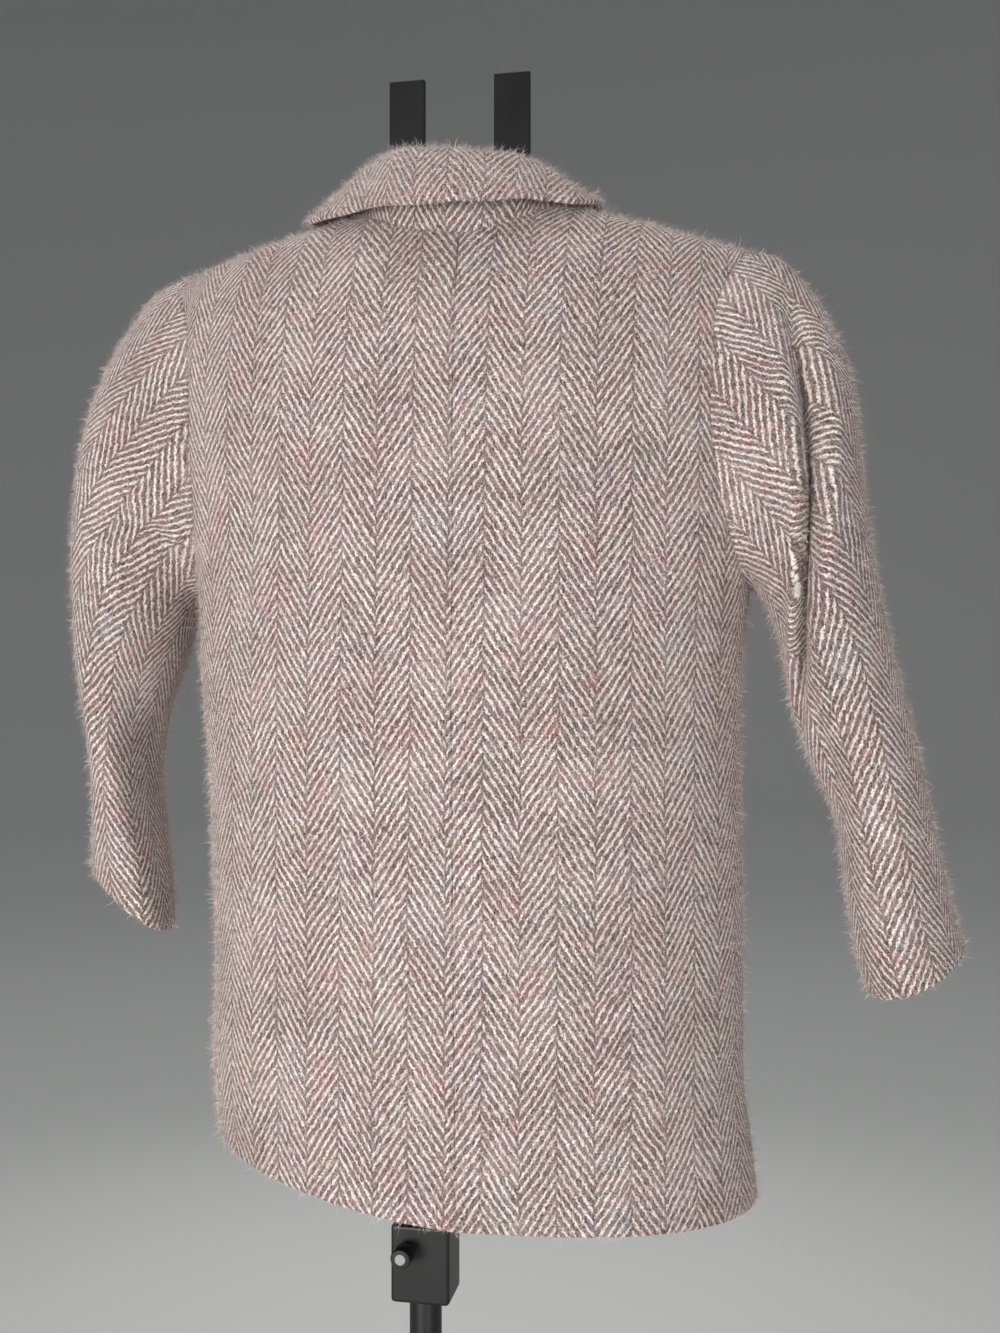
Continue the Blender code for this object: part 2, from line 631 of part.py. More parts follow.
def leaf_side(side):
    """The turned-down leaf: over the fold, then out and down to its edge."""
    along = collar_along[side]
    fold, edge = collar_lines(side, along)
    out = edge - fold
    out[:, 2] = 0
    out = unit(out)
    run = unit(np.gradient(fold, axis=0))
    up = unit(np.array([0.0, 0.0, 1.0]) - run * run[:, 2:])
    rise = SEAM_GAP + 0.0003 + LEAF_HALF
    a = fold - HALF * out + rise * up
    soft = (0.4 + 0.6 * smooth(1 - along / 0.55))[:, None]
    b = fold + 0.009 * out + (rise + 0.003 * soft) * up
    c = fold + 0.55 * (edge - fold) + 0.011 * soft * out + 0.006 * soft * up
    t = LEAF_SHARE[:, None, None]
    return bezier(a[None], b[None], c[None], edge[None], t)


leaf = both_sides(leaf_side)
leaf_normals = grid_normals(leaf)
if leaf_normals[4, leaf.shape[1] // 2, 1] < 0:
    leaf_normals = -leaf_normals
wall("collar_leaf", leaf, leaf_normals * LEAF_HALF, wool_dark, coat)

# Lapels: the front's own points from the roll line out, moved outward.
LAPEL_HALF = 0.0013
LAPEL_STEPS = np.linspace(0, 5, 15)
LAPEL_SHARE = np.linspace(0, 1, 8)


def on_panel(grid, rows, columns):
    """Points on a panel between its own points, at fractional rows and
    columns of its grid."""
    r = np.clip(np.floor(rows).astype(int), 0, grid.shape[0] - 2)
    c = np.clip(np.floor(columns).astype(int), 0, grid.shape[1] - 2)
    u, v = (rows - r)[..., None], (columns - c)[..., None]
    low = grid[r, c] * (1 - v) + grid[r, c + 1] * v
    high = grid[r + 1, c] * (1 - v) + grid[r + 1, c + 1] * v
    return low * (1 - u) + high * u


def lapel_grid(side):
    """A lapel on the front's own points, and the normals there."""
    row = interpolate(LAPEL_COLUMNS, LAPEL_ROWS, LAPEL_STEPS)
    inner, outer = row["inner_station"][:, None], row["outer_station"][:, None]
    station = inner + (outer - inner) * LAPEL_SHARE[None]
    start = -interpolate(EDGE_COLUMNS, EDGE_ROWS, row["inner_station"])["past_middle"]
    across = start[:, None] + row["width"][:, None] * LAPEL_SHARE[None]
    flat = station.ravel()
    t = front_t(side, flat, across.ravel()).reshape(station.shape)
    edge = -interpolate(EDGE_COLUMNS, EDGE_ROWS, flat)["past_middle"]
    first = front_t(side, flat, edge).reshape(station.shape)
    rows = np.interp(flat, STATIONS, np.arange(len(STATIONS))).reshape(station.shape)
    columns = (t - first) / (1 - first) * (len(FRONT_SHARE) - 1)
    grid, normals = panels["front", side]
    return on_panel(grid, rows, columns), unit(on_panel(normals, rows, columns))


for side in (1, -1):
    base, normals = lapel_grid(side)
    grid = base + normals * (HALF + 0.0012 + LAPEL_HALF)
    word = "left" if side > 0 else "right"
    wall("lapel_" + word, grid, normals * LAPEL_HALF, wool, coat)


def turned(name, profile, sides, look, parent, place, lie=None):
    """A solid turned about its own Z axis from (radius, height) pairs."""
    points, faces = [], []
    for radius, height in profile:
        for n in range(sides):
            a = 2 * math.pi * n / sides
            points.append((radius * math.cos(a), radius * math.sin(a), height))
    for ring in range(len(profile) - 1):
        for n in range(sides):
            m = (n + 1) % sides
            faces.append((ring * sides + n, ring * sides + m,
                          (ring + 1) * sides + m, (ring + 1) * sides + n))
    faces.append(tuple(reversed(range(sides))))
    faces.append(tuple(range((len(profile) - 1) * sides, len(profile) * sides)))
    made = new_object(name, points, faces, look, parent)
    made.location = place
    if lie is not None:
        made.rotation_euler = lie
    return made


def block(name, low, high, chamfer, look, parent):
    """A box with its four upright edges cut off."""
    x0, y0, z0 = low
    x1, y1, z1 = high
    c = chamfer
    outline = [(x0 + c, y0), (x1 - c, y0), (x1, y0 + c), (x1, y1 - c),
               (x1 - c, y1), (x0 + c, y1), (x0, y1 - c), (x0, y0 + c)]
    points = [(x, y, z0) for x, y in outline] + [(x, y, z1) for x, y in outline]
    faces = [tuple(reversed(range(8))), tuple(range(8, 16))]
    for n in range(8):
        m = (n + 1) % 8
        faces.append((n, m, m + 8, n + 8))
    return new_object(name, points, faces, look, parent, smooth=False)


# Buttons: two columns on the right front, which lies on top.
number = 0
for z in BUTTON_Z:
    station = float(np.interp(z, [row[BODY_COLUMNS.index("front_z")] for row in BODY_ROWS],
                              [row[0] for row in BODY_ROWS]))
    for x in (-BUTTON_X, BUTTON_X):
        number += 1
        t = front_t(-1, np.array([station]), np.array([-x]))
        spot = front_point(-1, np.array([station]), t)[0]
        step_t = front_point(-1, np.array([station]), t + 0.02)[0] - spot
        step_s = front_point(-1, np.array([station + 0.1]), t)[0] - spot
        normal = np.cross(step_t, step_s)
        normal *= -np.sign(normal[1]) / np.linalg.norm(normal)
        place = spot + normal * (HALF + 0.0007)
        r, h = BUTTON_RADIUS, BUTTON_HEIGHT
        profile = ((0.80 * r, 0.0), (r, 0.25 * h), (r, 0.75 * h), (0.93 * r, h),
                   (0.74 * r, 0.78 * h))
        tilt = (math.acos(max(-1.0, min(1.0, normal[2]))), 0.0,
                math.atan2(normal[0], -normal[1]))
        turned("button_%d" % number, profile, 18, horn, coat, tuple(place), tilt)

# The display form: the body's own sections, moved in, whole and without arms.
FORM_T = np.array([0.0, 0.12, 0.26, 0.40, 0.55, 0.70, 0.84, 0.94, 0.985])
FORM_STATIONS = np.concatenate([[1.5, 2.5, 3.5, 4.5, 5.3], ARM[[0, 3, 5, 7, 9, 11, 13, 15]],
                                TOP])


def form_quarter(face, side):
    """One quarter of the form's sections."""
    s = np.broadcast_to(FORM_STATIONS[:, None], (len(FORM_STATIONS), len(FORM_T)))
    grid = body_point(face, side, s, FORM_T[None, :])
    normals = body_normal(face, side, grid)
    shoulder = smooth((s - 9.7) / 0.3) * smooth((FORM_T[None] - 0.55) / 0.25)
    clear = FORM_CLEAR + (FORM_SEAT - FORM_CLEAR) * shoulder
    return grid - normals * (HALF + clear)[..., None]


quarters = [form_quarter("back", 1), form_quarter("front", 1)[:, ::-1],
            form_quarter("front", -1)[:, 1:], form_quarter("back", -1)[:, ::-1][:, :-1]]
form = np.concatenate(quarters, axis=1)
hub = form[-1].mean(axis=0)
NECK_TOP = 1.452
cap_low = (form[-1] - hub) * (0.86, 0.86, 0.0) + (hub[0], hub[1], NECK_TOP - 0.004)
cap_top = (form[-1] - hub) * (0.82, 0.82, 0.0) + (hub[0], hub[1], NECK_TOP)
form = np.concatenate([form, cap_low[None], cap_top[None]])
form[0, :, 2] = form[0, :, 2].mean()
rows, cols = form.shape[:2]
faces = []
for r in range(rows - 1):
    for c in range(cols):
        d = (c + 1) % cols
        faces.append((r * cols + c, (r + 1) * cols + c, (r + 1) * cols + d, r * cols + d))
points = list(form.reshape(-1, 3))
low_hub, top_hub = len(points), len(points) + 1
points.append(np.array([0.0, 0.0, form[0, 0, 2]]))
points.append(np.array([hub[0], hub[1], NECK_TOP]))
for c in range(cols):
    d = (c + 1) % cols
    faces.append((low_hub, c, d))
    faces.append((top_hub, (rows - 1) * cols + d, (rows - 1) * cols + c))
new_object("display_form", points, faces, shell, coat)
form_low = form[0, 0, 2]

# The stand: base, post in two lengths with a clamp between, and two flat bars
# that rise out of the form's neck.
turned("stand_base", ((BASE_RADIUS, 0.0), (BASE_RADIUS, BASE_HEIGHT - 0.002),
                      (BASE_RADIUS - 0.002, BASE_HEIGHT)), 40, black, None, (0, 0, 0))
clamp_low = CLAMP_TOP - CLAMP_HEIGHT
turned("stand_post", ((POST_RADIUS, 0.0), (POST_RADIUS, clamp_low - BASE_HEIGHT - 0.0006)),
       20, black, None, (0, 0, BASE_HEIGHT + 0.0003))
block("stand_clamp", (-CLAMP_WIDTH / 2, -0.020, clamp_low), (CLAMP_WIDTH / 2, 0.020, CLAMP_TOP),
      0.005, black, None)
turned("stand_post_upper", ((POST_RADIUS, 0.0), (POST_RADIUS, form_low - CLAMP_TOP - 0.0006)),
       20, black, None, (0, 0, CLAMP_TOP + 0.0003))
turned("stand_knob", ((0.004, 0.0), (0.004, 0.006), (KNOB_RADIUS, 0.007), (KNOB_RADIUS, 0.018),
                      (0.006, 0.020)), 16, black, None, (0.010, 0.0203, clamp_low + 0.042),
       (-math.pi / 2, 0.0, 0.0))
for word, x in zip(("left", "right"), BAR_X):
    block("stand_bar_" + word, (x + COAT_X - BAR_WIDTH / 2, -0.003, NECK_TOP + 0.0003),
          (x + COAT_X + BAR_WIDTH / 2, -0.003 + BAR_DEPTH, BAR_TOP), 0.0008, black, None)
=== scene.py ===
"""A pea coat of brushed herringbone wool, seen from its back, filled out on a
smooth limbless form that stands on a black post and a round base."""
import math

import bpy
import numpy as np
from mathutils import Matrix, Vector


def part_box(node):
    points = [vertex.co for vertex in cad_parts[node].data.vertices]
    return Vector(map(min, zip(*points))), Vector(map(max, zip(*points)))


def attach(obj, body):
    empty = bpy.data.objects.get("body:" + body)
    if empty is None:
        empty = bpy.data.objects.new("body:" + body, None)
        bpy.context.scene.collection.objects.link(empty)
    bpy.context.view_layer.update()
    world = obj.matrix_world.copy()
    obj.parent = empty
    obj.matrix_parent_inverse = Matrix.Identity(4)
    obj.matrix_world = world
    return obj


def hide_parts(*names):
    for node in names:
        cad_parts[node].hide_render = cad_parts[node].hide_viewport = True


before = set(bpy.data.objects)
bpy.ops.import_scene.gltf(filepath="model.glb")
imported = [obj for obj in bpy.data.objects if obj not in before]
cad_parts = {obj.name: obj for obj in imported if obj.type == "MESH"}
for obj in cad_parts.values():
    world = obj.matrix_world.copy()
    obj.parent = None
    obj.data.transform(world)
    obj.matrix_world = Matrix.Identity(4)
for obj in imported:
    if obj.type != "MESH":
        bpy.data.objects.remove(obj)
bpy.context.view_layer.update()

# ------------------------------------------------------------------ the backs
# Two back pieces of brushed wool herringbone, joined by the middle back seam.
# They are plain cut pieces with no vent: the cloth is laid in shape over the
# form, and its edges are turned in at the seams and the hem.
COAT_X = -0.033         # the coat's middle, seen from the stand's post
HALF = 0.0015           # half the cloth's thickness
UNDERARM, TIP = 6.0, 10.0

# The body's size at each height: half widths, and its depth from the side seams.
GIRTH_COLUMNS = ("height", "left", "right", "back", "front")
GIRTH_ROWS = (
    (0.700, 0.190, 0.220, 0.132, 0.138),
    (0.745, 0.192, 0.215, 0.132, 0.138),
    (0.800, 0.198, 0.209, 0.131, 0.138),
    (0.872, 0.196, 0.209, 0.130, 0.137),
    (0.950, 0.199, 0.208, 0.129, 0.136),
    (1.028, 0.203, 0.207, 0.127, 0.135),
    (1.097, 0.209, 0.208, 0.125, 0.133),
    (1.158, 0.212, 0.214, 0.122, 0.131),
    (1.210, 0.221, 0.219, 0.120, 0.130),
    (1.280, 0.236, 0.225, 0.118, 0.129),
    (1.480, 0.248, 0.228, 0.118, 0.128),
)

# Shoulder seam height against the distance from the middle.
RIDGE_COLUMNS = ("out", "left_z", "right_z")
RIDGE_ROWS = (
    (0.000, 1.469, 1.469),
    (0.088, 1.446, 1.445),
    (0.150, 1.431, 1.427),
    (0.190, 1.420, 1.414),
    (0.217, 1.413, 1.407),
    (0.240, 1.407, 1.401),
    (0.270, 1.399, 1.393),
)

# Edges of the back and front pieces at each station up the body.
BODY_COLUMNS = ("station", "seam_x", "back_z", "front_z", "left_x", "right_x", "left_z", "right_z")
BODY_ROWS = (
    (0.0, -0.021, 0.716, 0.708, 0.189, 0.220, 0.741, 0.706),
    (1.0, -0.020, 0.790, 0.790, 0.195, 0.209, 0.799, 0.790),
    (2.0, -0.019, 0.870, 0.870, 0.191, 0.209, 0.872, 0.870),
    (3.0, -0.018, 0.950, 0.950, 0.194, 0.208, 0.950, 0.950),
    (4.0, -0.017, 1.028, 1.028, 0.199, 0.207, 1.028, 1.028),
    (5.0, -0.016, 1.097, 1.095, 0.206, 0.208, 1.097, 1.097),
    (6.0, -0.016, 1.160, 1.156, 0.212, 0.214, 1.158, 1.158),
    (6.1, -0.016, 1.166, 1.162, 0.2118, 0.2135, 1.1595, 1.1595),
    (6.4, -0.016, 1.182, 1.178, 0.209, 0.209, 1.170, 1.170),
    (7.0, -0.016, 1.212, 1.208, 0.202, 0.199, 1.206, 1.206),
    (8.0, -0.015, 1.270, 1.258, 0.200, 0.189, 1.280, 1.280),
    (9.0, -0.015, 1.328, 1.303, 0.207, 0.192, 1.352, 1.352),
    (9.6, -0.014, 1.354, 1.326, 0.223, 0.204, 1.389, 1.389),
    (9.9, -0.014, 1.365, 1.338, 0.235, 0.2135, 1.4035, 1.4035),
    (10.0, -0.014, 1.369, 1.342, 0.240, 0.217, 1.407, 1.407),
    (11.0, -0.013, 1.391, 1.364, 0.166, 0.156, 1.427, 1.425),
    (12.0, -0.012, 1.410, 1.384, 0.088, 0.088, 1.446, 1.445),
)
HEM_SWING = 0.008               # the hem's rise between middle back and left side
ROUND_FROM = (1.250, 1.225)     # the back and front start to curve to the ridge


def smooth(share):
    """A soft step from 0 to 1."""
    share = np.clip(share, 0, 1)
    return share * share * (3 - 2 * share)


def interpolate(columns, rows, at):
    """Each column of the table at the places asked for, as smooth curves that
    don't swing past the rows (monotone cubic pieces)."""
    data = np.array(rows, dtype=float)
    x = data[:, 0]
    step = np.diff(x)
    at = np.clip(np.asarray(at, dtype=float), x[0], x[-1])
    found = {columns[0]: at}
    cell = np.clip(np.searchsorted(x, at, side="right") - 1, 0, len(x) - 2)
    p, h = (at - x[cell]) / step[cell], step[cell]
    before, after = 2 * step[1:] + step[:-1], step[1:] + 2 * step[:-1]
    for number, name in enumerate(columns[1:], start=1):
        y = data[:, number]
        slope = np.diff(y) / step
        both = slope[:-1] * slope[1:] > 0
        mean = (before + after) / (before / np.where(both, slope[:-1], 1)
                                   + after / np.where(both, slope[1:], 1))
        lean = np.concatenate([slope[:1], np.where(both, mean, 0.0), slope[-1:]])
        found[name] = (y[cell] * (2 * p**3 - 3 * p**2 + 1)
                       + h * lean[cell] * (p**3 - 2 * p**2 + p)
                       + y[cell + 1] * (3 * p**2 - 2 * p**3)
                       + h * lean[cell + 1] * (p**3 - p**2))
    return found


def unit(vectors):
    """Vectors made one long, along the last axis."""
    size = np.linalg.norm(vectors, axis=-1, keepdims=True)
    return vectors / np.maximum(size, 1e-12)


def depth_squared(face, side, across, z):
    """How far the back or front stands from the side seams, squared: an oval
    of the body's size at that height, rounded over toward the shoulder ridge."""
    girth = "left" if side > 0 else "right"
    size = interpolate(GIRTH_COLUMNS, GIRTH_ROWS, z)
    oval = 1 - np.abs(across / size[girth]) ** 2.3
    low = ROUND_FROM[0] if face == "back" else ROUND_FROM[1]
    height = interpolate(RIDGE_COLUMNS, RIDGE_ROWS, np.abs(across))[girth + "_z"]
    rounded = 1 - np.clip((z - low) / (height - low), 0, 1.2) ** 2.2
    return size[face] ** 2 * np.maximum(oval, -0.2) * np.maximum(rounded, -0.2)


def body_point(face, side, station, t):
    """A point of the body in the middle of the cloth.  face is 'back' or
    'front', side is +1 left or -1 right, t runs from the middle (0) to the
    side seam, armhole or shoulder seam (1)."""
    station, t = np.broadcast_arrays(np.asarray(station, float), np.asarray(t, float))
    b = interpolate(BODY_COLUMNS, BODY_ROWS, station)
    word = "left" if side > 0 else "right"
    out_z = b[word + "_z"]
    seam = interpolate(GIRTH_COLUMNS, GIRTH_ROWS, out_z)[word]
    out_x = np.where(station <= UNDERARM, seam, b[word + "_x"])
    top = interpolate(RIDGE_COLUMNS, RIDGE_ROWS, out_x)[word + "_z"]
    out_z = np.where(station >= TIP, top, out_z)
    mid_x = side * b["seam_x"] if face == "back" else 0.0 * out_x
    mid_z = b["back_z"] if face == "back" else b["front_z"]
    even = 0.45 * smooth((station - UNDERARM) / 2.5)
    share = (1 - even) * np.sin(t * math.pi / 2) + even * t
    across = mid_x + (out_x - mid_x) * share
    z = mid_z + (out_z - mid_z) * smooth(t)
    if face == "back" and side > 0:
        z = z + HEM_SWING * np.sin(math.pi * t) * smooth(1 - station / 1.5)
    deep = np.sqrt(np.maximum(depth_squared(face, side, across, z), 0))
    deep = np.where((t >= 1) & ((station <= UNDERARM) | (station >= TIP)), 0.0, deep)
    return np.stack([side * across, deep if face == "back" else -deep, z], axis=-1)


def body_normal(face, side, points):
    """Outward unit normals of the body at points on it."""
    across, z = side * points[..., 0], points[..., 2]
    e = 0.0005
    by_x = (depth_squared(face, side, across + e, z)
            - depth_squared(face, side, across - e, z)) / (2 * e)
    by_z = (depth_squared(face, side, across, z + e)
            - depth_squared(face, side, across, z - e)) / (2 * e)
    return unit(np.stack([-side * by_x, 2 * points[..., 1], -by_z], axis=-1))


def places(start, end, count, rim):
    """count even places from start to end, with closer ones within rim of both
    ends, where the cloth's edge is turned in."""
    near = np.array([0.10, 0.30, 0.60, 1.0]) * rim
    even = np.linspace(start + 1.6 * rim, end - 1.6 * rim, count)
    return np.concatenate([[start], start + near, even, end - near[::-1], [end]])


def lengths(points, axis):
    """Distance run along one axis of a grid of points, from its first line."""
    step = np.linalg.norm(np.diff(points, axis=axis), axis=-1)
    first = np.zeros_like(np.take(step, [0], axis=axis))
    return np.concatenate([first, np.cumsum(step, axis=axis)], axis=axis)


def body_cloth(face, side, points):
    """Where each point lies on the flat cloth, in metres: how far round the
    body from the middle, and how far up, over the curve of the shoulder."""
    across, z = side * points[..., 0], points[..., 2]
    level = np.minimum(z, 1.20)
    share = np.linspace(0, 1, 40)
    x = across[..., None] * share
    y = np.sqrt(np.maximum(depth_squared(face, side, x, level[..., None]), 0))
    round_ = np.hypot(np.diff(x), np.diff(y)).sum(-1) * np.sign(across)
    rise = 1 - (1 - share) ** 2
    up = level[..., None] + (z - level)[..., None] * rise
    y = np.sqrt(np.maximum(depth_squared(face, side, across[..., None], up), 0))
    height = level + np.hypot(np.diff(up), np.diff(y)).sum(-1)
    return np.stack([-side * round_, height], axis=-1)


def closed(grid):
    """A grid with its first column once more at its end, so that it goes round."""
    return np.concatenate([grid, grid[:, :1]], axis=1)


def cells(grid):
    """The four corners of each cell of a grid, in order round the cell."""
    corner = (grid[:-1, :-1], grid[:-1, 1:], grid[1:, 1:], grid[1:, :-1])
    return np.stack(corner, 2).reshape(-1, 4, *grid.shape[2:])


def cloth_piece(name, middle, normals, flat, half=HALF, rim=0.0028, around=False):
    """A closed piece of cloth.  middle is a grid of points in the middle of
    the cloth; the outer and inner faces lie half a thickness off it, and both
    round in to it within rim of each open edge, as a quarter of an oval.
    flat is each point's place on the flat cloth, kept as the map 'cloth'.
    Where it goes around, flat has one column more, for the seam's other side."""
    down = lengths(middle, 0)
    edge = np.minimum(down, down[-1:] - down)
    if not around:
        over = lengths(middle, 1)
        edge = np.minimum(edge, np.minimum(over, over[:, -1:] - over))
    inset = np.clip(edge / rim, 0, 1)
    thick = (half * np.sqrt(1 - (1 - inset) ** 2))[..., None]
    points = np.stack([middle + normals * thick, middle - normals * thick]).reshape(-1, 3)
    number = np.arange(edge.size).reshape(edge.shape)
    twin = number + edge.size
    twin[[0, -1]] = number[[0, -1]]
    if around:
        number, twin = closed(number), closed(twin)
    else:
        twin[:, [0, -1]] = number[:, [0, -1]]
    turned = [0, 3, 2, 1]
    faces = np.concatenate([cells(number), cells(twin)[:, turned]])
    uv = np.concatenate([cells(flat), cells(flat)[:, turned]])
    slope = np.cross(middle[1:-1, 2:] - middle[1:-1, :-2], middle[2:, 1:-1] - middle[:-2, 1:-1])
    if np.sum(slope * normals[1:-1, 1:-1]) < 0:
        faces, uv = faces[:, ::-1], uv[:, ::-1]
    kept, faces = np.unique(faces, return_inverse=True)
    return solid(name, points[kept], faces.reshape(-1, 4).tolist(), wool, uv)


def solid(name, points, faces, look, uv=None, place=(COAT_X, 0, 0)):
    """A smooth shaded mesh object of one material.  Its points are moved to
    their place, its faces are lists of point numbers, and uv is its map 'cloth'."""
    mesh = bpy.data.meshes.new(name)
    mesh.from_pydata((np.reshape(points, (-1, 3)) + place).tolist(), [], faces)
    mesh.update()
    mesh.shade_smooth()
    mesh.materials.append(look)
    if uv is not None:
        layer = mesh.uv_layers.new(name="cloth")
        layer.data.foreach_set("uv", uv.reshape(-1).astype(np.float32))
    made = bpy.data.objects.new(name, mesh)
    bpy.context.collection.objects.link(made)
    return made


def linear(code):
    """An sRGB hex colour as linear red, green, blue and alpha."""
    parts = [int(code[n:n + 2], 16) / 255 for n in (1, 3, 5)]
    return (*[p / 12.92 if p <= 0.04045 else ((p + 0.055) / 1.055) ** 2.4 for p in parts], 1.0)


def node(tree, kind, values):
    """Adds one node and sets each value by attribute or input.  Another node,
    or one of its outputs, is linked, and a hex code is a colour."""
    made = tree.nodes.new(kind)
    for key, value in values.items():
        if isinstance(value, bpy.types.Node):
            value = next(way for way in value.outputs if way.enabled)
        if isinstance(value, bpy.types.NodeSocket):
            tree.links.new(value, made.inputs[key])
        elif isinstance(key, str) and hasattr(made, key):
            setattr(made, key, value)
        else:
            value = linear(value) if isinstance(value, str) else value
            made.inputs[key].default_value = value
    return made


# The weave's real sizes on the flat cloth, and how steeply its lines rise.
COLUMN_WIDTH = 0.0255
LINE_PITCH = 0.0087
LINE_RISE = 1.5
BEAD_LENGTH = 0.0018                # one bead of yarn along a line
WANDER, FRAY = 0.0042, 0.0036       # how far the lines stray, end to end


def brushed_herringbone(name, lift=0.0, pale=0.0):
    """Brushed wool herringbone: cream twill lines on a mauve-brown ground, in
    columns that slope the other way from each to the next, and step half a
    line at the joint.  A line shows where the height up the cloth, plus a
    zigzag across the columns, is near a whole number of pitches.  Rose and
    grey-blue shades drift through the ground with a few red specks, and pale
    hairs lie over all.  The yarns stand up as beads about 1.8 mm long, and the
    hollows between them are darkened with painted shade.  Paler and darker
    clouds about 50 mm wide show where the brushing is uneven.  The nap
    scatters light as a pale sheen and blurs the lines' edges."""
    look = bpy.data.materials.new(name)
    look.use_nodes = True
    tree = look.node_tree
    tree.nodes.clear()
    cloth = node(tree, "ShaderNodeUVMap", {"uv_map": "cloth"})
    elsewhere = node(tree, "ShaderNodeVectorMath", {
        "operation": "ADD", 0: cloth, 1: (3.7, 1.9, 0)})
    noise = {}
    for key, where, scale, detail, rough in (
            ("drift", cloth, 34.0, 1.0, 0.50),          # the weave wanders over 30 mm
            ("fray", cloth, 300.0, 4.0, 0.75),          # the nap frays it over 3 mm
            ("hairs", cloth, 820.0, 3.0, 0.75),         # loose hairs, about 1 mm apart
            ("mauve", cloth, 17.0, 3.0, 0.60),
            ("rose", cloth, 30.0, 3.0, 0.70),
            ("blue", elsewhere, 26.0, 3.0, 0.70),
            ("specks", elsewhere, 190.0, 1.0, 0.50),    # knots of red wool, 5 mm apart
            ("clouds", elsewhere, 19.0, 3.0, 0.60)):
        noise[key] = node(tree, "ShaderNodeTexNoise", {
            "Scale": scale, "Detail": detail, "Roughness": rough, "Vector": where})
    shift = []
    for key, reach in (("drift", WANDER), ("fray", FRAY)):
        shift.append(node(tree, "ShaderNodeVectorMath", {
            "operation": "MULTIPLY_ADD", 0: noise[key].outputs["Color"],
            1: (reach, reach, 0), 2: (-reach / 2, -reach / 2, 0)}))
    shift = node(tree, "ShaderNodeVectorMath", {"operation": "ADD", 0: shift[0], 1: shift[1]})
    place = node(tree, "ShaderNodeVectorMath", {"operation": "ADD", 0: cloth, 1: shift})
    place = node(tree, "ShaderNodeSeparateXYZ", {0: place}).outputs

    def weighed(*parts):
        """Adds up parts, each times its weight."""
        total = 0.0
        for part, weight in parts:
            total = node(tree, "ShaderNodeMath", {
                "operation": "MULTIPLY_ADD", 0: part, 1: weight, 2: total})
        return total

    column = node(tree, "ShaderNodeMath", {
        "operation": "MULTIPLY_ADD", 0: place["X"], 1: 1 / COLUMN_WIDTH, 2: 100.5})
    zigzag = node(tree, "ShaderNodeMath", {"operation": "PINGPONG", 0: column, 1: 1.0})
    joint = node(tree, "ShaderNodeMath", {"operation": "PINGPONG", 0: column, 1: 0.5})
    whole = node(tree, "ShaderNodeMath", {"operation": "FLOOR", 0: column})
    odd = node(tree, "ShaderNodeMath", {"operation": "MODULO", 0: whole, 1: 2.0})
    pitches = weighed((place["Y"], 1 / LINE_PITCH),
                      (zigzag, COLUMN_WIDTH * LINE_RISE / LINE_PITCH), (odd, 0.5))
    line = node(tree, "ShaderNodeMath", {"operation": "PINGPONG", 0: pitches, 1: 0.5})
    # beads of yarn along each line, a third of a line wide
    run = node(tree, "ShaderNodeCombineXYZ", {
        "X": weighed((pitches, 3.0)), "Y": weighed((place["X"], 1 / BEAD_LENGTH)),
        "Z": weighed((whole, 7.3))})
    beads = node(tree, "ShaderNodeTexNoise", {
        "Scale": 1.0, "Detail": 1.0, "Roughness": 0.55, "Vector": run})
    hairs = noise["hairs"]
    # the beads and hairs move a line's edge in and out, by 1.075 in the mean
    stroke = node(tree, "ShaderNodeMapRange", {
        "interpolation_type": "SMOOTHSTEP", "From Min": 1.495, "From Max": 1.995,
        "Value": weighed((line, 2.0), (beads, 1.15), (hairs, 1.0))})
    gap = node(tree, "ShaderNodeMapRange", {
        "interpolation_type": "SMOOTHSTEP", "From Min": 0.05, "From Max": 0.0, "Value": joint})

    def tinted(colour, *layers):
        """Lays tints over a colour.  Each layer is a pattern, the values where
        its tint starts and is full, its strength and the tint."""
        for pattern, start, full, strength, tint in layers:
            share = node(tree, "ShaderNodeMapRange", {
                "interpolation_type": "SMOOTHSTEP", "From Min": start, "From Max": full,
                "To Max": strength, "Value": pattern})
            colour = node(tree, "ShaderNodeMix", {
                "data_type": "RGBA", 0: share, 6: colour, 7: tint})
        return colour

    ground = tinted("#7e6860",
                    (noise["mauve"], 0.42, 0.60, 1.00, "#82676a"),
                    (noise["rose"], 0.50, 0.72, 0.50, "#9e5b61"),
                    (noise["blue"], 0.50, 0.70, 0.55, "#777c82"),
                    # painted shade: the ground darkened in the hollows between the yarn beads,
                    # where the bump sinks
                    (beads, 0.56, 0.35, 0.90, "#3f302e"),
                    (noise["specks"], 0.70, 0.78, 0.65, "#8c3a40"),
                    (hairs, 0.48, 0.68, 0.62, "#d6c4bc"))
    cream = tinted("#c9b6ad",
                   (hairs, 0.40, 0.60, 1.00, "#fffaf6"),
                   (noise["rose"], 0.52, 0.74, 0.35, "#dfa6a6"))
    colour = node(tree, "ShaderNodeMix", {"data_type": "RGBA", 0: stroke, 6: ground, 7: cream})
    colour = tinted(colour,
                    (joint, 0.05, 0.00, 0.50, "#5f4a48"),
                    (noise["clouds"], 0.46, 0.74, 0.10, "#fbeae2"),
                    (noise["clouds"], 0.54, 0.30, 0.16, "#6d5350"))
    if pale:
        colour = node(tree, "ShaderNodeMix", {
            "data_type": "RGBA", 0: pale, 6: colour, 7: "#f2e4dd"})
    raised = node(tree, "ShaderNodeBump", {
        "Strength": 0.6, "Distance": 0.0012,
        "Height": weighed((stroke, 0.8), (beads, 0.6), (hairs, 0.5), (gap, -0.6))})
    shader = node(tree, "ShaderNodeBsdfPrincipled", {
        "Base Color": colour, "Normal": raised, "Roughness": 0.95, "Metallic": 0.0,
        "IOR": 1.5, "Specular IOR Level": 0.12, "Sheen Weight": 0.22 + lift,
        "Sheen Roughness": 0.5, "Sheen Tint": "#f1e0da"})
    node(tree, "ShaderNodeOutputMaterial", {"Surface": shader})
    return look


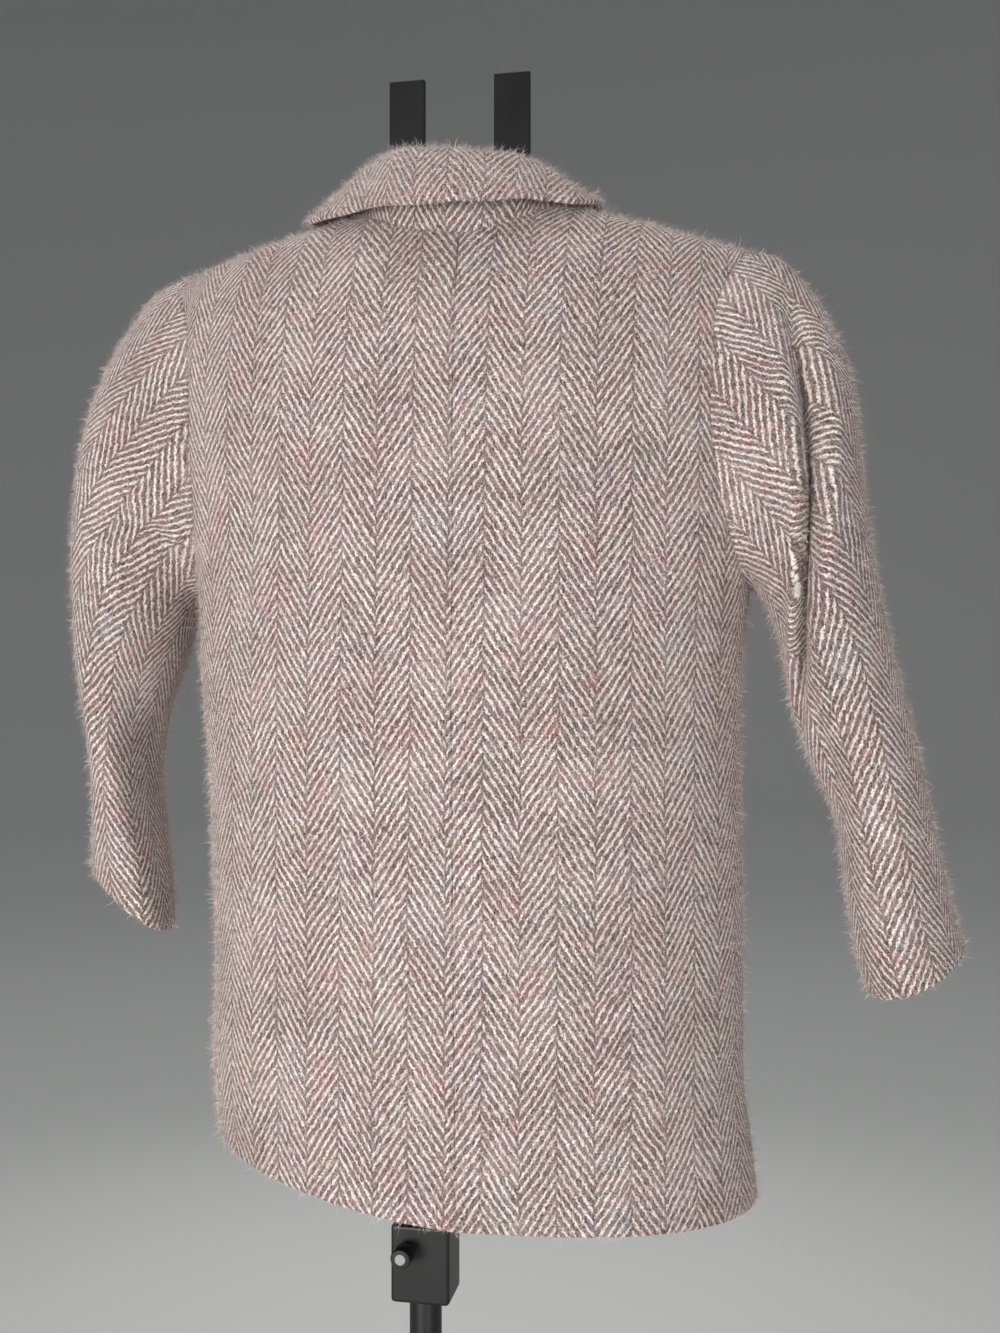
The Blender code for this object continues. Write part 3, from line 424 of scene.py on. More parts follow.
wool = brushed_herringbone("brushed_wool_herringbone")
coarse = 2
SIDES = ((1, "left"), (-1, "right"))

# Soft undulations of the back, where the cloth hangs between the shoulder
# blades and the hem: place round the body, height, half sizes and depth.
EASE_COLUMNS = ("round", "height", "half_round", "half_height", "depth")
BACK_EASE = (
    (0.105, 1.02, 0.030, 0.16, 0.0026),
    (0.060, 0.86, 0.026, 0.13, -0.0020),
    (-0.115, 1.00, 0.030, 0.17, 0.0026),
    (-0.060, 0.90, 0.030, 0.15, -0.0018),
    (0.150, 0.84, 0.024, 0.11, 0.0022),
    (-0.160, 0.86, 0.024, 0.12, 0.0022),
    (0.150, 1.20, 0.022, 0.07, -0.0024),
    (-0.150, 1.21, 0.022, 0.07, -0.0024),
)


def eased(points, normals, flat, rows):
    """Moves cloth out or in by soft bumps of those sizes, none within 12 mm of
    the middle seam or 20 mm of the side seam."""
    move = np.zeros(points.shape[:2])
    for row in rows:
        e = dict(zip(EASE_COLUMNS, row))
        move += e["depth"] * np.exp(-((flat[..., 0] - e["round"]) / e["half_round"]) ** 2
                                    - ((flat[..., 1] - e["height"]) / e["half_height"]) ** 2)
    over = lengths(points, 1)
    keep = smooth(over / 0.03) * smooth((over[:, -1:] - over) / 0.03)
    return points + normals * (move * keep)[..., None]


backs = {}
low = places(0.0, UNDERARM, 26 * coarse, 0.05)
arm = places(UNDERARM, TIP, 18 * coarse, 0.03)
top = places(TIP, 12.0, 6 * coarse, 0.10)
STATIONS = np.unique(np.round(np.concatenate([low, arm, top]), 5))
for side, word in SIDES:
    t = places(0.0, 1.0, 24 * coarse, 0.014)
    s = np.broadcast_to(STATIONS[:, None], (len(STATIONS), len(t)))
    middle = body_point("back", side, s, t[None])
    normals = body_normal("back", side, middle)
    flat = body_cloth("back", side, middle)
    middle = eased(middle, normals, flat, BACK_EASE)
    made = cloth_piece("back_cloth_" + word, middle, normals, flat)
    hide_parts("back_" + word)
    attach(made, "root")
    backs[side] = (middle, normals, flat)

# ----------------------------------------------------------------- the fronts
# Two double-breasted fronts of the same cloth.  The right one closes over the
# left, which is tucked a cloth's thickness under it.
EDGE_COLUMNS = ("station", "past_middle")
EDGE_ROWS = (
    (0.0, 0.080), (5.0, 0.080), (6.3, 0.080), (7.0, 0.058), (8.0, 0.026),
    (9.0, -0.003), (10.0, -0.030), (11.0, -0.048), (12.0, -0.062),
)
TUCK = 0.0080           # the left front lies this far under the right
FRONT_CUT = 0.9         # where the fronts were cut, across the flat cloth


def front_t(side, station, x):
    """Where along a front's section the cloth reaches the distance x from the
    middle, measured toward the front's own side."""
    t = np.linspace(0, 1, 81)
    found = np.empty(len(station))
    for n, s in enumerate(station):
        across = side * body_point("front", side, np.full(81, s), t)[:, 0]
        found[n] = np.interp(abs(x[n]), across, t) * np.sign(x[n])
    return found


def front_point(side, station, t):
    """A front's point, also past the middle, where t is negative.  The left
    front is tucked under the right one around the middle."""
    station, t = np.broadcast_arrays(np.asarray(station, float), np.asarray(t, float))
    own = body_point("front", side, station, np.abs(t))
    other = body_point("front", -side, station, np.abs(t))
    point = np.where((t < 0)[..., None], other, own)
    if side > 0:
        level = smooth((0.150 - point[..., 0]) / 0.058) * smooth((TIP - station) / 0.9)
        point[..., 1] += TUCK * level
    return point


fronts = {}
for side, word in SIDES:
    edge = interpolate(EDGE_COLUMNS, EDGE_ROWS, STATIONS)["past_middle"]
    start = front_t(side, STATIONS, -edge)
    share = places(0.0, 1.0, 26 * coarse, 0.010)
    t = start[:, None] + (1 - start[:, None]) * share[None]
    s = np.broadcast_to(STATIONS[:, None], t.shape)
    middle = front_point(side, s, t)
    normals = body_normal("front", side, middle)
    flat = body_cloth("front", side, middle) + (FRONT_CUT, 0.0)
    made = cloth_piece("front_cloth_" + word, middle, normals, flat)
    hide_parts("front_" + word)
    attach(made, "root")
    fronts[side] = (middle, normals, flat)

# ---------------------------------------------------------------- the sleeves
# Two sleeves set into the armholes, cut in one tube each.  They hang empty, so
# the cloth falls into a deep trough behind the right elbow and a dent behind
# the left one.
SLEEVE_COLUMNS = ("ring", "out_x", "out_y", "out_z", "in_x", "in_y", "in_z",
                  "back_x", "back_y", "back_z")
LEFT_SLEEVE_ROWS = (
    (0.0, 0.240, 0.000, 1.407, 0.212, 0.000, 1.158, 0.000, 0.066, 0.000),
    (1.0, 0.255, 0.000, 1.400, 0.219, 0.000, 1.157, 0.000, 0.071, 0.000),
    (2.0, 0.273, -0.002, 1.380, 0.227, -0.002, 1.148, 0.000, 0.076, 0.000),
    (3.0, 0.292, -0.004, 1.345, 0.235, -0.004, 1.132, 0.000, 0.080, 0.000),
    (4.0, 0.306, -0.008, 1.300, 0.242, -0.008, 1.112, 0.000, 0.081, -0.002),
    (5.0, 0.317, -0.014, 1.243, 0.251, -0.012, 1.088, 0.000, 0.078, -0.004),
    (6.0, 0.324, -0.026, 1.183, 0.263, -0.018, 1.062, -0.001, 0.074, -0.006),
    (7.0, 0.325, -0.036, 1.118, 0.273, -0.024, 1.030, -0.002, 0.069, -0.008),
    (8.0, 0.322, -0.043, 1.057, 0.275, -0.026, 0.994, -0.005, 0.064, -0.010),
    (9.0, 0.325, -0.048, 1.000, 0.268, -0.026, 0.954, -0.006, 0.059, -0.009),
    (10.0, 0.332, -0.053, 0.955, 0.260, -0.024, 0.913, -0.006, 0.055, -0.003),
    (11.0, 0.336, -0.058, 0.932, 0.2560, -0.020, 0.884, -0.006, 0.052, 0.006),
)
RIGHT_SLEEVE_ROWS = (
    (0.0, -0.217, 0.000, 1.407, -0.214, 0.000, 1.158, 0.000, 0.066, 0.000),
    (1.0, -0.236, 0.000, 1.401, -0.2195, 0.000, 1.157, 0.000, 0.071, 0.000),
    (2.0, -0.255, 0.000, 1.380, -0.2265, 0.000, 1.148, 0.000, 0.076, 0.000),
    (3.0, -0.276, 0.000, 1.346, -0.233, 0.000, 1.132, 0.000, 0.080, 0.000),
    (4.0, -0.290, 0.000, 1.300, -0.239, 0.000, 1.112, 0.000, 0.081, -0.002),
    (5.0, -0.295, 0.000, 1.243, -0.245, 0.000, 1.085, 0.000, 0.079, -0.004),
    (6.0, -0.303, 0.000, 1.180, -0.254, 0.000, 1.052, 0.000, 0.075, -0.006),
    (7.0, -0.317, 0.000, 1.110, -0.270, 0.000, 1.014, 0.001, 0.069, -0.006),
    (8.0, -0.333, 0.000, 1.045, -0.281, 0.000, 0.975, 0.002, 0.065, -0.006),
    (9.0, -0.346, -0.002, 0.985, -0.285, 0.000, 0.938, 0.003, 0.062, -0.006),
    (10.0, -0.358, -0.004, 0.930, -0.292, 0.002, 0.894, 0.004, 0.060, -0.008),
    (11.0, -0.368, -0.006, 0.897, -0.300, 0.004, 0.868, 0.004, 0.058, -0.008),
)

# Folds: the middle line of each in degrees round the sleeve (0 out, 90 back,
# 180 in), its drift, first and last ring, half width and depth.
FOLD_COLUMNS = ("round_deg", "drift_deg", "first", "last", "half_deg", "depth")
LEFT_FOLDS = (
    (150, -70, 1.2, 4.4, 16, -0.0070),
    (165, -70, 2.4, 5.8, 24, 0.0040),
    (75, 40, 4.4, 6.8, 26, -0.0030),
    (150, 0, 5.0, 8.0, 30, -0.0040),
)
RIGHT_FOLDS = (
    (36, 104, 1.9, 5.5, 17, -0.0110),
    (10, 104, 2.1, 5.6, 15, 0.0050),
    (66, 96, 2.0, 5.4, 20, 0.0045),
    (132, 0, 5.0, 7.8, 15, -0.0035),
    (156, 0, 5.2, 7.4, 24, 0.0050),
)


def sleeve_loop(side, count):
    """count points round the armhole at even distances, from the tip down the
    back and up the front, and the sleeve angle that belongs to each."""
    station = np.linspace(UNDERARM, TIP, 160)
    down = body_point("back", side, station[::-1], np.ones(160))
    up = body_point("front", side, station, np.ones(160))
    halves = []
    for line in (down, up):
        run = np.concatenate([[0], np.cumsum(np.linalg.norm(np.diff(line, axis=0), axis=1))])
        even = np.linspace(0, run[-1], count // 2 + 1)
        halves.append(np.stack([np.interp(even, run, line[:, n]) for n in range(3)], -1)[:-1])
    return np.concatenate(halves), np.arange(count) * 2 * math.pi / count


def sleeve_points(side, rings, count, folds):
    """A sleeve's rings.  Each is the oval of its row, and near the armhole the
    armhole's own shape is blended in.  Folds move the cloth in or out."""
    rows = LEFT_SLEEVE_ROWS if side > 0 else RIGHT_SLEEVE_ROWS
    loop, angle = sleeve_loop(side, count)
    s = interpolate(SLEEVE_COLUMNS, rows, rings)
    out = np.stack([s["out_x"], s["out_y"], s["out_z"]], -1)
    near = np.stack([s["in_x"], s["in_y"], s["in_z"]], -1)
    back = np.stack([s["back_x"], s["back_y"], s["back_z"]], -1)
    middle, reach = (out + near) / 2, (out - near) / 2
    oval = (middle[:, None] + reach[:, None] * np.cos(angle)[None, :, None]
            + back[:, None] * np.sin(angle)[None, :, None])
    start = loop - oval[0]
    grid = oval + smooth(1 - rings / 4.5)[:, None, None] * start[None]
    outward = unit(grid - middle[:, None])
    degrees = np.degrees(angle)
    for row in folds:
        f = dict(zip(FOLD_COLUMNS, row))
        share = (rings - f["first"]) / (f["last"] - f["first"])
        rise = np.where((share > 0) & (share < 1), np.sin(np.pi * np.clip(share, 0, 1)) ** 0.8, 0)
        centre = f["round_deg"] + f["drift_deg"] * share
        away = (degrees[None] - centre[:, None] + 180) % 360 - 180
        bump = np.exp(-(away / f["half_deg"]) ** 2)
        grid = grid + outward * (f["depth"] * rise[:, None] * bump)[..., None]
    return grid


def round_normals(grid, side):
    """Outward unit normals of a tube of rings, from its own slopes."""
    wide = np.concatenate([grid[:, -1:], grid, grid[:, :1]], axis=1)
    return -side * unit(np.cross(wide[:, 2:] - wide[:, :-2], np.gradient(grid, axis=0)))


# The sharp middle of the same folds, and small creases that the large ones
# pull with them, in the same columns.
LEFT_CREASES = (
    (150, -70, 1.2, 4.4, 7, -0.0050),
    (136, -66, 1.0, 4.0, 9, 0.0022),
    (112, -12, 6.4, 9.4, 12, -0.0018),
    (60, 10, 7.4, 10.2, 11, 0.0014),
    (142, 0, 6.4, 13.0, 22, 0.0070),
    (84, 6, 7.0, 13.0, 16, -0.0030),
)
RIGHT_CREASES = (
    (24, 116, 1.8, 4.7, 9, -0.0230),
    (102, 57, 3.3, 6.1, 9, -0.0210),
    (44, 116, 1.8, 4.7, 8, 0.0040),
    (122, 57, 3.3, 6.1, 8, 0.0040),
    (130, 6, 5.0, 7.8, 6, -0.0020),
    (80, 8, 8.0, 10.4, 12, 0.0016),
)


# The line that the grain follows up each sleeve from the middle of its cuff:
# the length of each stretch, and how far it leans in, towards the neck.
GRAIN_COLUMNS = ("length", "lean_deg")
LEFT_GRAIN = ((0.115, -1), (0.125, 17), (0.430, 39))
RIGHT_GRAIN = ((0.262, 13), (0.420, 39))
LINE_BELOW = 0.12           # how far the line runs on below the cuff
LINE_POINTS = 361           # and how many points it has
CORNER_POINTS = 49          # its corners are rounded over this many points
LEFT_CUT, RIGHT_CUT = 2.0258, 2.0128        # where the sleeves were cut, across
SLEEVE_CUT_UP = 0.9                         # and up the flat cloth
SEAM_TURN = 0.75            # the front seams, in quarter turns from the front


def sleeve_cloth(side, grid):
    """Where each point of a sleeve lies on the flat cloth, in metres, worked
    out on the sleeve before it is folded.  The grain follows the line of the
    tables above, and the height is the place along it of the nearest point on
    it.  Down the middle of the sleeve's back and down its front, the width is
    the distance from that line.  Round the sleeve from there each step between
    two points adds what is left of its length once the rise is taken out, by
    Pythagoras.  The pattern meets at a seam 22 degrees in front of each side."""
    grain = [dict(zip(GRAIN_COLUMNS, row)) for row in (LEFT_GRAIN if side > 0 else RIGHT_GRAIN)]
    ends = np.cumsum([g["length"] for g in grain])
    place_ = np.linspace(-LINE_BELOW, ends[-1], LINE_POINTS)
    stretch = np.minimum(np.searchsorted(ends, place_), len(grain) - 1)
    lean = np.radians([g["lean_deg"] for g in grain])[stretch]
    step = (place_[1] - place_[0]) * np.stack([-side * np.sin(lean), 0 * lean, np.cos(lean)], -1)
    line = np.cumsum(step, axis=0)
    line += grid[-1].mean(axis=0) - line[np.argmin(np.abs(place_))]
    soft = np.ones(CORNER_POINTS) / CORNER_POINTS
    line = np.stack([np.convolve(line[:, n], soft, "valid") for n in range(3)], -1)
    step = np.linalg.norm(np.diff(line, axis=0), axis=1)
    along = np.concatenate([[0], np.cumsum(step)])
    ahead = unit(np.gradient(line, axis=0))
    inward = side * np.stack([-ahead[:, 2], 0 * ahead[:, 0], ahead[:, 0]], -1)
    near = np.argmin(((grid[..., None, :] - line) ** 2).sum(-1), axis=-1)
    apart = grid - line[near]
    height = along[near] + np.sum(apart * ahead[near], axis=-1)
    lateral = np.sum(apart * inward[near], axis=-1)
    count = grid.shape[1]
    high = closed(height)
    run = np.linalg.norm(np.diff(closed(grid), axis=1), axis=-1)
    left_over = np.sqrt(np.maximum(run ** 2 - np.diff(high, axis=1) ** 2, (0.2 * run) ** 2))
    over = np.concatenate([np.zeros((len(grid), 1)), np.cumsum(left_over, axis=1)], axis=1)
    back = count // 2
    across = over - over[:, back:back + 1] + (lateral[:, back] - lateral[-1, back])[:, None]
    front_line = (lateral[:, 0] - lateral[-1, 0])[:, None]
    out_side = over - over[-1, back] - front_line
    in_side = over - over[:, -1:] + over[-1, -1] - over[-1, back] - front_line
    turn = np.arange(count + 1) * 4 / count
    across = np.where(turn < SEAM_TURN, out_side, across)
    across = np.where(turn > 4 - SEAM_TURN, in_side, across)
    cut = LEFT_CUT if side > 0 else RIGHT_CUT
    return np.stack([side * across + cut, high + SLEEVE_CUT_UP], axis=-1)


sleeves = {}
for side, word in SIDES:
    count = 72 * coarse
    rings = places(0.0, 11.0, 36 * coarse, 0.05)
    folds = LEFT_FOLDS + LEFT_CREASES if side > 0 else RIGHT_FOLDS + RIGHT_CREASES
    middle = np.roll(sleeve_points(side, rings, count, folds), count // 4, axis=1)
    unfolded = np.roll(sleeve_points(side, rings, count, ()), count // 4, axis=1)
    normals = round_normals(middle, side)
    flat = sleeve_cloth(side, unfolded)
    made = cloth_piece("sleeve_cloth_" + word, middle, normals, flat, around=True)
    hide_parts("sleeve_" + word)
    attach(made, "root")
    sleeves[side] = (middle, normals, flat)

# ----------------------------------------------------------------- the collar
# A turned-down collar: a stand sewn to the neck seam, and a leaf that rolls over
# it and lies on the shoulders.  The leaf is double cloth with a thick edge.
COLLAR_COLUMNS = ("along", "rise", "lean", "station", "round", "lift")
COLLAR_ROWS = (
    (0.00, 0.0580, -0.0080, 12.00, 0.00, 0.0290),
    (0.20, 0.0510, -0.0090, 11.88, 0.40, 0.0185),
    (0.30, 0.0430, -0.0100, 11.76, 0.53, 0.0130),
    (0.40, 0.0330, -0.0105, 11.60, 0.66, 0.0095),
    (0.50, 0.0210, -0.0110, 11.56, 0.83, 0.0075),
    (0.60, 0.0130, -0.0080, 11.66, 1.00, 0.0068),
    (0.80, 0.0090, -0.0010, 11.15, 1.42, 0.0060),
    (1.00, 0.0070, 0.0020, 10.65, 1.58, 0.0058),
)
COLLAR_LEAN = 0.13      # the collar stands a little higher on the left
LEAF_SHIFT = 0.11       # and its leaf reaches further down the left shoulder
LEAF_HALF = 0.0025      # half the leaf's thickness, of double cloth
LEAF_CLEAR = 0.0007     # its clearance over the stand's top
ROLL_OUT, ROLL_UP = 0.009, 0.003        # how far the fold rolls over the stand
FALL_OUT, FALL_UP = 0.011, 0.006        # how far the fall swells off a straight line
STAND_CUT, LEAF_CUT = 4.0, 6.0128       # where they were cut, across the flat cloth

neck_rows, collar_along = {}, {}
for side in (1, -1):
    row = np.concatenate([backs[side][0][-1], fronts[side][0][-1][::-1][1:]])
    run = lengths(row[None], 1)[0]
    even = places(0.0, run[-1], 30 * coarse, 0.003)
    neck_rows[side] = np.stack([np.interp(even, run, row[:, n]) for n in range(3)], -1)
    collar_along[side] = even / run[-1]


def collar_lines(side, along):
    """The collar's fold and its leaf's outer edge on one side."""
    c = interpolate(COLLAR_COLUMNS, COLLAR_ROWS, along)
    seam = np.stack([np.interp(along, collar_along[side], neck_rows[side][:, n])
                     for n in range(3)], axis=-1)
    out = seam * (1, 1, 0) + (0.0, 0.010, 0.0)
    fold = seam + unit(out) * c["lean"][:, None]
    fold[:, 2] += c["rise"] + COLLAR_LEAN * fold[:, 0] * smooth((0.9 - along) / 0.5)
    edge = np.empty_like(fold)
    for face in ("back", "front"):
        here = (c["round"] <= 1) == (face == "back")
        t = np.where(face == "back", c["round"], 2 - c["round"])
        station = c["station"] - side * LEAF_SHIFT * smooth((along - 0.35) / 0.25)
        base = body_point(face, side, station, np.clip(t, 0, 1))
        base = base + body_normal(face, side, base) * c["lift"][:, None]
        edge[here] = base[here]
    return fold, edge


def both_sides(function):
    """Right and left halves of the collar in one run, front end to front end."""
    return np.concatenate([function(-1)[:, ::-1], function(1)[:, 1:]], axis=1)


def slope_normals(grid, toward):
    """Unit normals of an open grid from its own slopes, on the side of the
    direction given for the middle of the grid."""
    found = unit(np.cross(np.gradient(grid, axis=1), np.gradient(grid, axis=0)))
    centre = found[grid.shape[0] // 2, grid.shape[1] // 2]
    return found if np.dot(centre, toward) > 0 else -found


def stand_half(side):
    """The collar stand: straight lines from the neck seam up to the fold."""
    fold, _ = collar_lines(side, collar_along[side])
    share = places(0.0, 1.0, 6 * coarse, 0.05)[:, None, None]
    low_ = neck_rows[side][None]
    return low_ + (fold[None] - low_) * share


def bezier(a, b, c, d, t):
    """A point on the cubic curve with the four control values."""
    s = 1 - t
    return a * s**3 + 3 * b * s**2 * t + 3 * c * s * t**2 + d * t**3


def leaf_half(side):
    """The leaf: over the fold, then out and down to its edge, as one curve of
    four control points at each place along the collar."""
    along = collar_along[side]
    fold, edge = collar_lines(side, along)
    out = edge - fold
    out[:, 2] = 0
    out = unit(out)
    run = unit(np.gradient(fold, axis=0))
    up = unit(np.array([0.0, 0.0, 1.0]) - run * run[:, 2:])
    rise = LEAF_CLEAR + LEAF_HALF
    a = fold - HALF * out + rise * up
    soft = (0.4 + 0.6 * smooth(1 - along / 0.55))[:, None]
    b = fold + ROLL_OUT * out + (rise + ROLL_UP * soft) * up
    c = fold + 0.55 * (edge - fold) + FALL_OUT * soft * out + FALL_UP * soft * up
    t = places(0.0, 1.0, 16 * coarse, 0.04)[:, None, None]
    return bezier(a[None], b[None], c[None], edge[None], t)


def collar_cloth(grid, up, cut):
    """Where each point of a collar piece lies on the flat cloth, in metres:
    along it from its middle, and up (1) or down (-1) from its first line."""
    along = lengths(grid, 1)
    middle_back = along[:, [grid.shape[1] // 2]]
    return np.stack([middle_back - along, up * lengths(grid, 0)], -1) + (cut, 0.0)


stand = both_sides(stand_half)
stand_piece = cloth_piece("collar_stand_cloth", stand, slope_normals(stand, (0, 1, 0)),
                          collar_cloth(stand, 1, STAND_CUT))
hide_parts("collar_stand")
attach(stand_piece, "root")

leaf = both_sides(leaf_half)
leaf_normals = slope_normals(leaf, (0, 1, 0.5))
leaf_flat = collar_cloth(leaf, -1, LEAF_CUT)
leaf_piece = cloth_piece("collar_leaf_cloth", leaf, leaf_normals, leaf_flat, half=LEAF_HALF,
                         rim=0.0035)
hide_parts("collar_leaf")
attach(leaf_piece, "root")

# ---------------------------------------------------------------- the lapels
# The upper front edges turned back on the fronts, pressed flat, with a notch
# below the collar.
LAPEL_COLUMNS = ("row", "inner_station", "outer_station", "width")
LAPEL_ROWS = (
    (0.0, 6.3, 6.3, 0.004),
    (1.0, 7.0, 7.0, 0.080),
    (2.0, 8.0, 7.8, 0.109),
    (3.0, 9.0, 8.6, 0.122),
    (4.0, 10.1, 9.2, 0.108),
    (5.0, 11.3, 9.7, 0.082),
)
LAPEL_HALF = 0.0013     # half a lapel's thickness, pressed thin
LAPEL_GAP = 0.0009      # its clearance from the front
LAPEL_CUT = 8.0         # where the lapels were cut, across the flat cloth


def lapel_points(side):
    """A lapel on the front's surface: rows from the break up to the notch,
    each from the roll line out to the lapel's edge."""
    steps = places(0.0, 5.0, 22 * coarse, 0.06)
    share = places(0.0, 1.0, 12 * coarse, 0.035)
    row = interpolate(LAPEL_COLUMNS, LAPEL_ROWS, steps)
    inner, outer = row["inner_station"][:, None], row["outer_station"][:, None]
    station = inner + (outer - inner) * share[None]
    start = -interpolate(EDGE_COLUMNS, EDGE_ROWS, row["inner_station"])["past_middle"]
    across = start[:, None] + row["width"][:, None] * share[None]
    t = front_t(side, station.ravel(), across.ravel()).reshape(station.shape)
    base = front_point(side, station, t)
    normals = body_normal("front", side, base)
    return base + normals * (HALF + LAPEL_GAP + LAPEL_HALF), normals


lapels = {}
for side, word in SIDES:
    middle, normals = lapel_points(side)
    flat = body_cloth("front", side, middle) * (-1, 1) + (LAPEL_CUT, 0.0)
    made = cloth_piece("lapel_cloth_" + word, middle, normals, flat, half=LAPEL_HALF, rim=0.002)
    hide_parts("lapel_" + word)
    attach(made, "root")
    lapels[side] = (middle, normals, flat)

# ------------------------------------------------------------------- the nap
# The cloth is brushed, so loose wool and mohair fibres up to 11 mm long stand
# off it.  Each is a thin tapered ribbon with one bend, coloured by the cloth at
# its root.  Real fibres are 0.03 mm wide; these are 0.25 mm, so that they show.
mohair = brushed_herringbone("loose_mohair_fibres", lift=0.3, pale=0.45)
FIBRE_WIDE = 0.00025
FIBRE_SHORT, FIBRE_MORE = 0.0025, 0.0085        # the shortest, and how much more
FIBRE_LOW, FIBRE_STEEP = 8, 62                  # the flattest, and how much steeper
ROOT_DEEP = 0.0004                              # how far a fibre's root is sunk
TIP_CLEAR = 0.0003                              # the least height of its tip


def nap(name, grid, normals, flat, half, count, seed, wrap=False):
    """count fibres on the outer face of a grid of cloth.  Each root is picked
    by area; the fibre leaves at 8 to 70 degrees to the cloth in a direction of
    its own that leans down, and bends further over at half its length."""
    chance = np.random.default_rng(seed)
    if wrap:
        grid, normals = closed(grid), closed(normals)
    outer = grid + normals * half
    a, b, c, d = outer[:-1, :-1], outer[:-1, 1:], outer[1:, 1:], outer[1:, :-1]
    area = np.linalg.norm(np.cross(c - a, d - b), axis=-1) / 2
    pick = chance.choice(area.size, size=count, p=(area / area.sum()).ravel())
    r, q = np.unravel_index(pick, area.shape)
    p, s = chance.random(count)[:, None], chance.random(count)[:, None]

    def between(values):
        """The values at the roots, from the four corners of their cells."""
        return ((values[r, q] * (1 - s) + values[r, q + 1] * s) * (1 - p)
                + (values[r + 1, q] * (1 - s) + values[r + 1, q + 1] * s) * p)

    root, out, uv = between(outer), unit(between(normals)), between(flat)
    down = unit(np.array([0, 0, -1.0]) + out * out[:, 2:])
    turn = chance.normal(0, 1.25, count)[:, None]
    lie = down * np.cos(turn) + np.cross(out, down) * np.sin(turn)
    steep = np.radians(FIBRE_LOW + FIBRE_STEEP * chance.random(count) ** 1.5)[:, None]
    long_ = (FIBRE_SHORT + FIBRE_MORE * chance.random(count) ** 2.4)[:, None]
    first = lie * np.cos(steep) + out * np.sin(steep)
    second = unit(first + 0.55 * chance.normal(0, 1, (count, 3)) + 0.25 * lie)
    bend = root + first * long_ * 0.5
    tip = bend + second * long_ * 0.5
    below = np.sum((tip - root) * out, axis=1, keepdims=True)
    tip = tip + out * np.maximum(TIP_CLEAR - below, 0)
    wide = unit(np.cross(first, out + 0.6 * chance.normal(0, 1, (count, 3)))) * FIBRE_WIDE / 2
    root = root - out * ROOT_DEEP
    points = np.stack([root - wide, root + wide, bend + wide * 0.8, bend - wide * 0.8, tip], 1)
    # one four-sided face and one three-sided face for each fibre's five points
    corners = np.arange(count)[:, None] * 5 + [0, 1, 2, 3, 3, 2, 4]
    starts = np.arange(count)[:, None] * 7 + [0, 4]
    mesh = bpy.data.meshes.new(name)
    mesh.vertices.add(count * 5)
    mesh.vertices.foreach_set("co", (points + (COAT_X, 0, 0)).reshape(-1))
    mesh.loops.add(count * 7)
    mesh.loops.foreach_set("vertex_index", corners.reshape(-1))
    mesh.polygons.add(count * 2)
    mesh.polygons.foreach_set("loop_start", starts.reshape(-1))
    mesh.update(calc_edges=True)
    mesh.validate()
    layer = mesh.uv_layers.new(name="cloth")
    layer.data.foreach_set("uv", np.repeat(uv, 7, axis=0).reshape(-1).astype(np.float32))
    mesh.shade_smooth()
    mesh.materials.append(mohair)
    made = bpy.data.objects.new(name, mesh)
    bpy.context.collection.objects.link(made)
    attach(made, "root")


thin = 1.0
for side, word in SIDES:
    nap("nap_back_" + word, *backs[side], HALF, int(45000 * thin), 11 + side)
    nap("nap_sleeve_" + word, *sleeves[side], HALF, int(30000 * thin), 21 + side, wrap=True)
    nap("nap_front_" + word, *fronts[side], HALF, int(15000 * thin), 31 + side)
    nap("nap_lapel_" + word, *lapels[side], LAPEL_HALF, int(4000 * thin), 41 + side)
nap("nap_collar_leaf", leaf, leaf_normals, leaf_flat, LEAF_HALF, int(14000 * thin), 51)

# ---------------------------------------------------------------- the buttons
# Six buttons of polished dark resin, turned with a raised rim and a dished
# face, each sewn on with thread through four holes.
BUTTON_RADIUS = 0.014
BUTTON_HEIGHT = 0.0042
BUTTON_X = 0.055
BUTTON_Z = (0.860, 0.975, 1.090)
FACE_COLUMNS = ("share", "height")
FACE_ROWS = ((0.00, 0.62), (0.45, 0.62), (0.66, 0.70), (0.80, 0.97), (0.90, 1.00), (1.00, 0.80))
HOLE_OUT = 0.0019       # each hole's place from the middle, across and up
HOLE_RADIUS = 0.00125
HOLE_DEEP = 0.0016
SHANK = 0.0007          # the button's clearance from the cloth
THREAD_RADIUS = 0.00024
THREAD_APART = 0.00022  # each of two threads from the line between two holes
THREAD_UP = 0.0020      # their ends above the button's back
THREAD_ARCH = 0.0016    # and how far they arch


